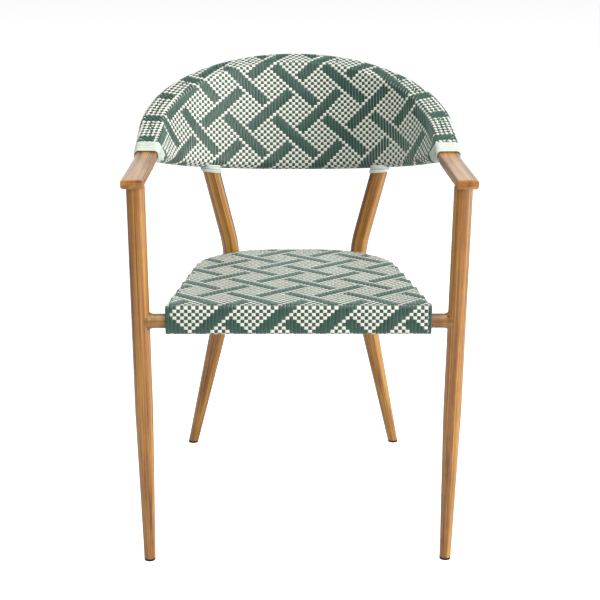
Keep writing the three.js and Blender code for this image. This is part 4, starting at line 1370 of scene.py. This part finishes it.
def strand_mesh(name, strands, **values):
    """Runs the strand tree on the guides and returns the plain mesh it makes."""
    guide = add_to_scene(name + "_guide", guide_mesh(name + "_guide", strands))
    modifier = guide.modifiers.new("Strands", "NODES")
    modifier.node_group = strand_tree()
    for item in modifier.node_group.interface.items_tree:
        if item.name in values:
            modifier[item.identifier] = values[item.name]
    graph = bpy.context.evaluated_depsgraph_get()
    mesh = bpy.data.meshes.new_from_object(guide.evaluated_get(graph), depsgraph=graph)
    guide.modifiers.remove(modifier)
    bpy.data.objects.remove(guide)
    mesh.name = name
    return mesh


# Operators

def woven_material(settings, green):
    """The green or the white polyethylene, made by the first weave that asks for it."""
    name = f"extruded_{'green' if green else 'white'}_polyethylene"
    values = (settings.green, 0.4, 0.18, 1.7, 0.5) if green else (settings.white, 0.38, 0.04)
    return bpy.data.materials.get(name) or strand_material(name, *values)


def weave(settings, node, parts, first_seed):
    """Makes a piece of each set of strands, given with its name and whether it is green."""
    for seed, (name, strands, green) in enumerate(parts, first_seed):
        material = woven_material(settings, green)
        mesh = strand_mesh(name, strands, Material=material, Facets=STRAND_FACETS,
                           Width=settings.warp_width if green else settings.weft_width,
                           Seed=seed,
                           Thickness=settings.strand_thickness, Rise=settings.strand_rise)
        add_piece(name, mesh, material, [node])


class CHAIR_OT_tubes(bpy.types.Operator):
    """Make the printed tubes: the bar of the arms and back, legs, stubs and arm ends"""
    bl_idname = "bistro_chair.tubes"
    bl_label = "Make tubes"

    def execute(self, context):
        settings = context.scene.bistro_tubes
        printed = print_material(settings)
        # The print goes on over welds and cut ends, where it turns out mottled. On the front
        # stubs the whole print is also darkened to 0.62 of its colour: painted shade where the
        # seat keeps the light off them.
        weld_print_with_painted_shade = print_material(settings, "bamboo_print_over_welds_with_painted_shade", 0.62, 0.5)
        over_ends = print_material(settings, "bamboo_print_over_arm_ends", 1.0, 0.55)
        bar = hoop_mesh()
        add_piece(bar.name, bar, printed, ["arm_and_back_hoop"])
        for hand, side in SIDES:
            for node, make, finish in (("arm_end_plate", end_plate_mesh, over_ends),
                                       ("front_leg", front_leg_mesh, printed),
                                       ("rear_leg", rear_leg_mesh, printed),
                                       ("front_stub", front_stub_mesh, weld_print_with_painted_shade),
                                       ("rear_stub", rear_stub_mesh, printed)):
                mesh = make(side, hand)
                add_piece(mesh.name, mesh, finish, [f"{hand}_{node}"])
        return {"FINISHED"}


class CHAIR_OT_hidden_frame(bpy.types.Operator):
    """Finish the rails under the weave and the foot glides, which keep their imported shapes"""
    bl_idname = "bistro_chair.hidden_frame"
    bl_label = "Finish hidden frame"

    def execute(self, context):
        rails = ("back_lower_rail", "seat_side_and_rear_rail", "seat_front_rail",
                 "front_seat_brace", "rear_seat_brace")
        glides = [f"{hand}_{end}_glide" for hand, _ in SIDES for end in ("front", "rear")]
        for names, material in ((rails, aluminium_material()),
                                (glides, plastic_material(context.scene.bistro_tubes))):
            for name in names:
                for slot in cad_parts[name].material_slots:
                    slot.material = material
        return {"FINISHED"}


class CHAIR_OT_woven_back(bpy.types.Operator):
    """Weave the sleeve of the back round the bar and the lower rail"""
    bl_idname = "bistro_chair.woven_back"
    bl_label = "Weave back"

    def execute(self, context):
        net = BackNet()
        warps = back_warps(net)
        left = [strand for strand in warps if np.mean(strand.points[:, 0]) < 0]
        right = [strand for strand in warps if np.mean(strand.points[:, 0]) >= 0]
        front, rear = back_wefts(net)
        weave(context.scene.bistro_weave, "woven_back", (
            ("back_left_warps", left, True), ("back_right_warps", right, True),
            ("back_front_wefts", front, False), ("back_rear_wefts", rear, False)), 0)
        return {"FINISHED"}


class CHAIR_OT_woven_seat(bpy.types.Operator):
    """Weave the seat over its frame"""
    bl_idname = "bistro_chair.woven_seat"
    bl_label = "Weave seat"

    def execute(self, context):
        weave(context.scene.bistro_weave, "woven_seat", (
            ("seat_warps", seat_warps(), True), ("seat_wefts", seat_wefts(), False)), 10)
        return {"FINISHED"}


class CHAIR_OT_bindings(bpy.types.Operator):
    """Wind the white bindings round the arms and the tops of the rear legs"""
    bl_idname = "bistro_chair.bindings"
    bl_label = "Wind bindings"

    def execute(self, context):
        settings = context.scene.bistro_weave
        material = strand_material("wound_white_polyethylene", settings.binding, 0.4, 0.03)
        for hand, side in SIDES:
            for node, make, width in (
                    ("arm_binding", arm_binding_strand, settings.binding_width),
                    ("leg_binding", leg_binding_strand, settings.leg_binding_width)):
                name = f"{hand}_{node}_strand"
                mesh = strand_mesh(name, [make(side)], Material=material, Width=width,
                                   Thickness=settings.binding_thickness, Rise=0.0,
                                   Facets=BINDING_FACETS, Seed=5)
                add_piece(name, mesh, material, [f"{hand}_{node}"])
        return {"FINISHED"}


# Stage. The camera stands in the part's own frame, before the model's shift.

CAMERA_PLACE = vec(-45.74, -2245.19, 1147.81)
CAMERA_PITCH = math.radians(17.007)
CAMERA_YAW = math.radians(1.199)
CAMERA_ROLL = math.radians(-0.329)
WHITE_LIGHT = (1.0, 1.0, 1.0, 1.0)
FLOOR_REACH = 30.0
BACKDROP_BACK = 12.0
BACKDROP_HEIGHT = 9.0
# Name, place and the height it is aimed at, size, setting of its power and share of that
LAMPS = (("right_softbox", (3.9, -2.6, 1.7), 0.5, (2.6, 2.6), "key_power", 1.0),
         ("top_softbox", (0.2, -0.4, 3.1), 0.5, (2.0, 2.0), "top_power", 1.0),
         ("left_softbox", (-2.2, -2.8, 1.3), 0.5, (2.2, 2.2), "fill_power", 1.0),
         ("right_panel", (3.5, 0.3, 1.2), 0.6, (2.5, 2.5), "panel_power", 1.0),
         ("front_panel", (0.3, -2.2, 2.3), 0.6, (2.0, 1.5), "panel_power", 0.38))


def make_camera(lens):
    forward = vec(math.sin(CAMERA_YAW) * math.cos(CAMERA_PITCH),
                  math.cos(CAMERA_YAW) * math.cos(CAMERA_PITCH), -math.sin(CAMERA_PITCH))
    right = vec(math.cos(CAMERA_YAW), -math.sin(CAMERA_YAW), 0)
    down = np.cross(forward, right)
    across = math.cos(CAMERA_ROLL) * right + math.sin(CAMERA_ROLL) * down
    up = math.sin(CAMERA_ROLL) * right - math.cos(CAMERA_ROLL) * down
    data = bpy.data.cameras.new("photo_view")
    data.lens = lens
    data.sensor_width = 36
    camera = add_to_scene("photo_view", data)
    camera.matrix_world = (Matrix.Translation(to_model(CAMERA_PLACE))
                           @ Matrix((across, up, -forward)).transposed().to_4x4())
    bpy.context.scene.camera = camera


def make_lamp(name, place, height, size, power):
    data = bpy.data.lights.new(name, "AREA")
    data.shape = "RECTANGLE"
    data.size, data.size_y = size
    data.energy = power
    lamp = add_to_scene(name, data)
    lamp.location = place
    lamp.rotation_mode = "QUATERNION"
    lamp.rotation_quaternion = (Vector((0, 0, height)) - Vector(place)).to_track_quat("-Z", "Y")


def floor_material(colour):
    """Matt studio floor: pale, seen as white by the camera, and still darkened where the
    chair keeps the light off it."""
    material, tree = new_material("matt_studio_floor")
    seen = add_node(tree, "ShaderNodeLightPath").outputs["Is Camera Ray"]
    strength = add_node(tree, "ShaderNodeMath", operation="MULTIPLY", i0=seen, i1=0.84)
    glow = add_node(tree, "ShaderNodeEmission", Color=WHITE_LIGHT, Strength=strength)
    matt = add_node(tree, "ShaderNodeBsdfDiffuse", Color=colour)
    return finished(material, add_node(tree, "ShaderNodeAddShader", i0=matt, i1=glow))


def backdrop_material():
    """Lit white paper behind the chair: seen and reflected as white, it lights nothing."""
    material, tree = new_material("lit_white_paper")
    path = add_node(tree, "ShaderNodeLightPath").outputs
    seen = path["Is Camera Ray"]
    for name in ("Is Glossy Ray", "Is Transmission Ray"):
        seen = add_node(tree, "ShaderNodeMath", operation="MAXIMUM", i0=seen, i1=path[name])
    return finished(material, add_node(tree, "ShaderNodeEmission", Color=WHITE_LIGHT,
                                       Strength=seen))


def make_world():
    """A soft grey room that the camera sees as white."""
    world = bpy.data.worlds.new("soft_studio")
    world.use_nodes = True
    tree = world.node_tree
    tree.nodes.clear()
    path = add_node(tree, "ShaderNodeLightPath").outputs
    unseen = add_node(tree, "ShaderNodeMapRange", Value=path["Is Glossy Ray"], To_Min=0.2,
                      To_Max=0.08)
    strength = add_node(tree, "ShaderNodeMath", operation="MAXIMUM", i0=unseen,
                        i1=path["Is Camera Ray"])
    back = add_node(tree, "ShaderNodeBackground", Color=WHITE_LIGHT, Strength=strength)
    add_node(tree, "ShaderNodeOutputWorld", Surface=back)
    bpy.context.scene.world = world


def stage_sheet(name, corners, material):
    mesh = bpy.data.meshes.new(name)
    mesh.from_pydata(corners, [], [(0, 1, 2, 3)])
    mesh.materials.append(material)
    add_to_scene(name, mesh)


class CHAIR_OT_stage(bpy.types.Operator):
    """Set up the floor, the lamps, the backdrop and the camera"""
    bl_idname = "bistro_chair.stage"
    bl_label = "Set up stage"

    def execute(self, context):
        settings = context.scene.bistro_stage
        corners = ((-1, -1), (1, -1), (1, 1), (-1, 1))
        stage_sheet("floor", [(x * FLOOR_REACH, y * FLOOR_REACH, 0) for x, y in corners],
                    floor_material(settings.floor))
        stage_sheet("backdrop", [(x * BACKDROP_BACK, BACKDROP_BACK, (y + 1) / 2 * BACKDROP_HEIGHT)
                                 for x, y in corners], backdrop_material())
        for name, place, height, size, power, share in LAMPS:
            make_lamp(name, place, height, size, getattr(settings, power) * share)
        make_world()
        make_camera(settings.lens)
        context.scene.view_settings.view_transform = "Standard"
        return {"FINISHED"}


OPERATORS = (CHAIR_OT_tubes, CHAIR_OT_hidden_frame, CHAIR_OT_woven_back, CHAIR_OT_woven_seat,
             CHAIR_OT_bindings, CHAIR_OT_stage)


class CHAIR_PT_panel(bpy.types.Panel):
    """The sidebar panel with the chair's sizes, colours and steps"""
    bl_label = "Bistro chair"
    bl_idname = "CHAIR_PT_panel"
    bl_space_type = "VIEW_3D"
    bl_region_type = "UI"
    bl_category = "Bistro chair"

    def draw(self, context):
        for group in (context.scene.bistro_weave, context.scene.bistro_tubes,
                      context.scene.bistro_stage):
            box = self.layout.box()
            for name in group.__annotations__:
                box.prop(group, name)
        for operator in OPERATORS:
            self.layout.operator(operator.bl_idname)


CLASSES = (WeaveSettings, TubeSettings, StageSettings, *OPERATORS, CHAIR_PT_panel)


def register():
    for made in CLASSES:
        bpy.utils.register_class(made)
    bpy.types.Scene.bistro_weave = PointerProperty(type=WeaveSettings)
    bpy.types.Scene.bistro_tubes = PointerProperty(type=TubeSettings)
    bpy.types.Scene.bistro_stage = PointerProperty(type=StageSettings)


def unregister():
    del bpy.types.Scene.bistro_weave, bpy.types.Scene.bistro_tubes, bpy.types.Scene.bistro_stage
    for made in reversed(CLASSES):
        bpy.utils.unregister_class(made)


def main():
    register()
    bpy.ops.bistro_chair.tubes()
    bpy.ops.bistro_chair.hidden_frame()
    bpy.ops.bistro_chair.woven_back()
    bpy.ops.bistro_chair.woven_seat()
    bpy.ops.bistro_chair.bindings()
    bpy.ops.bistro_chair.stage()


if __name__ == "__main__":
    main()
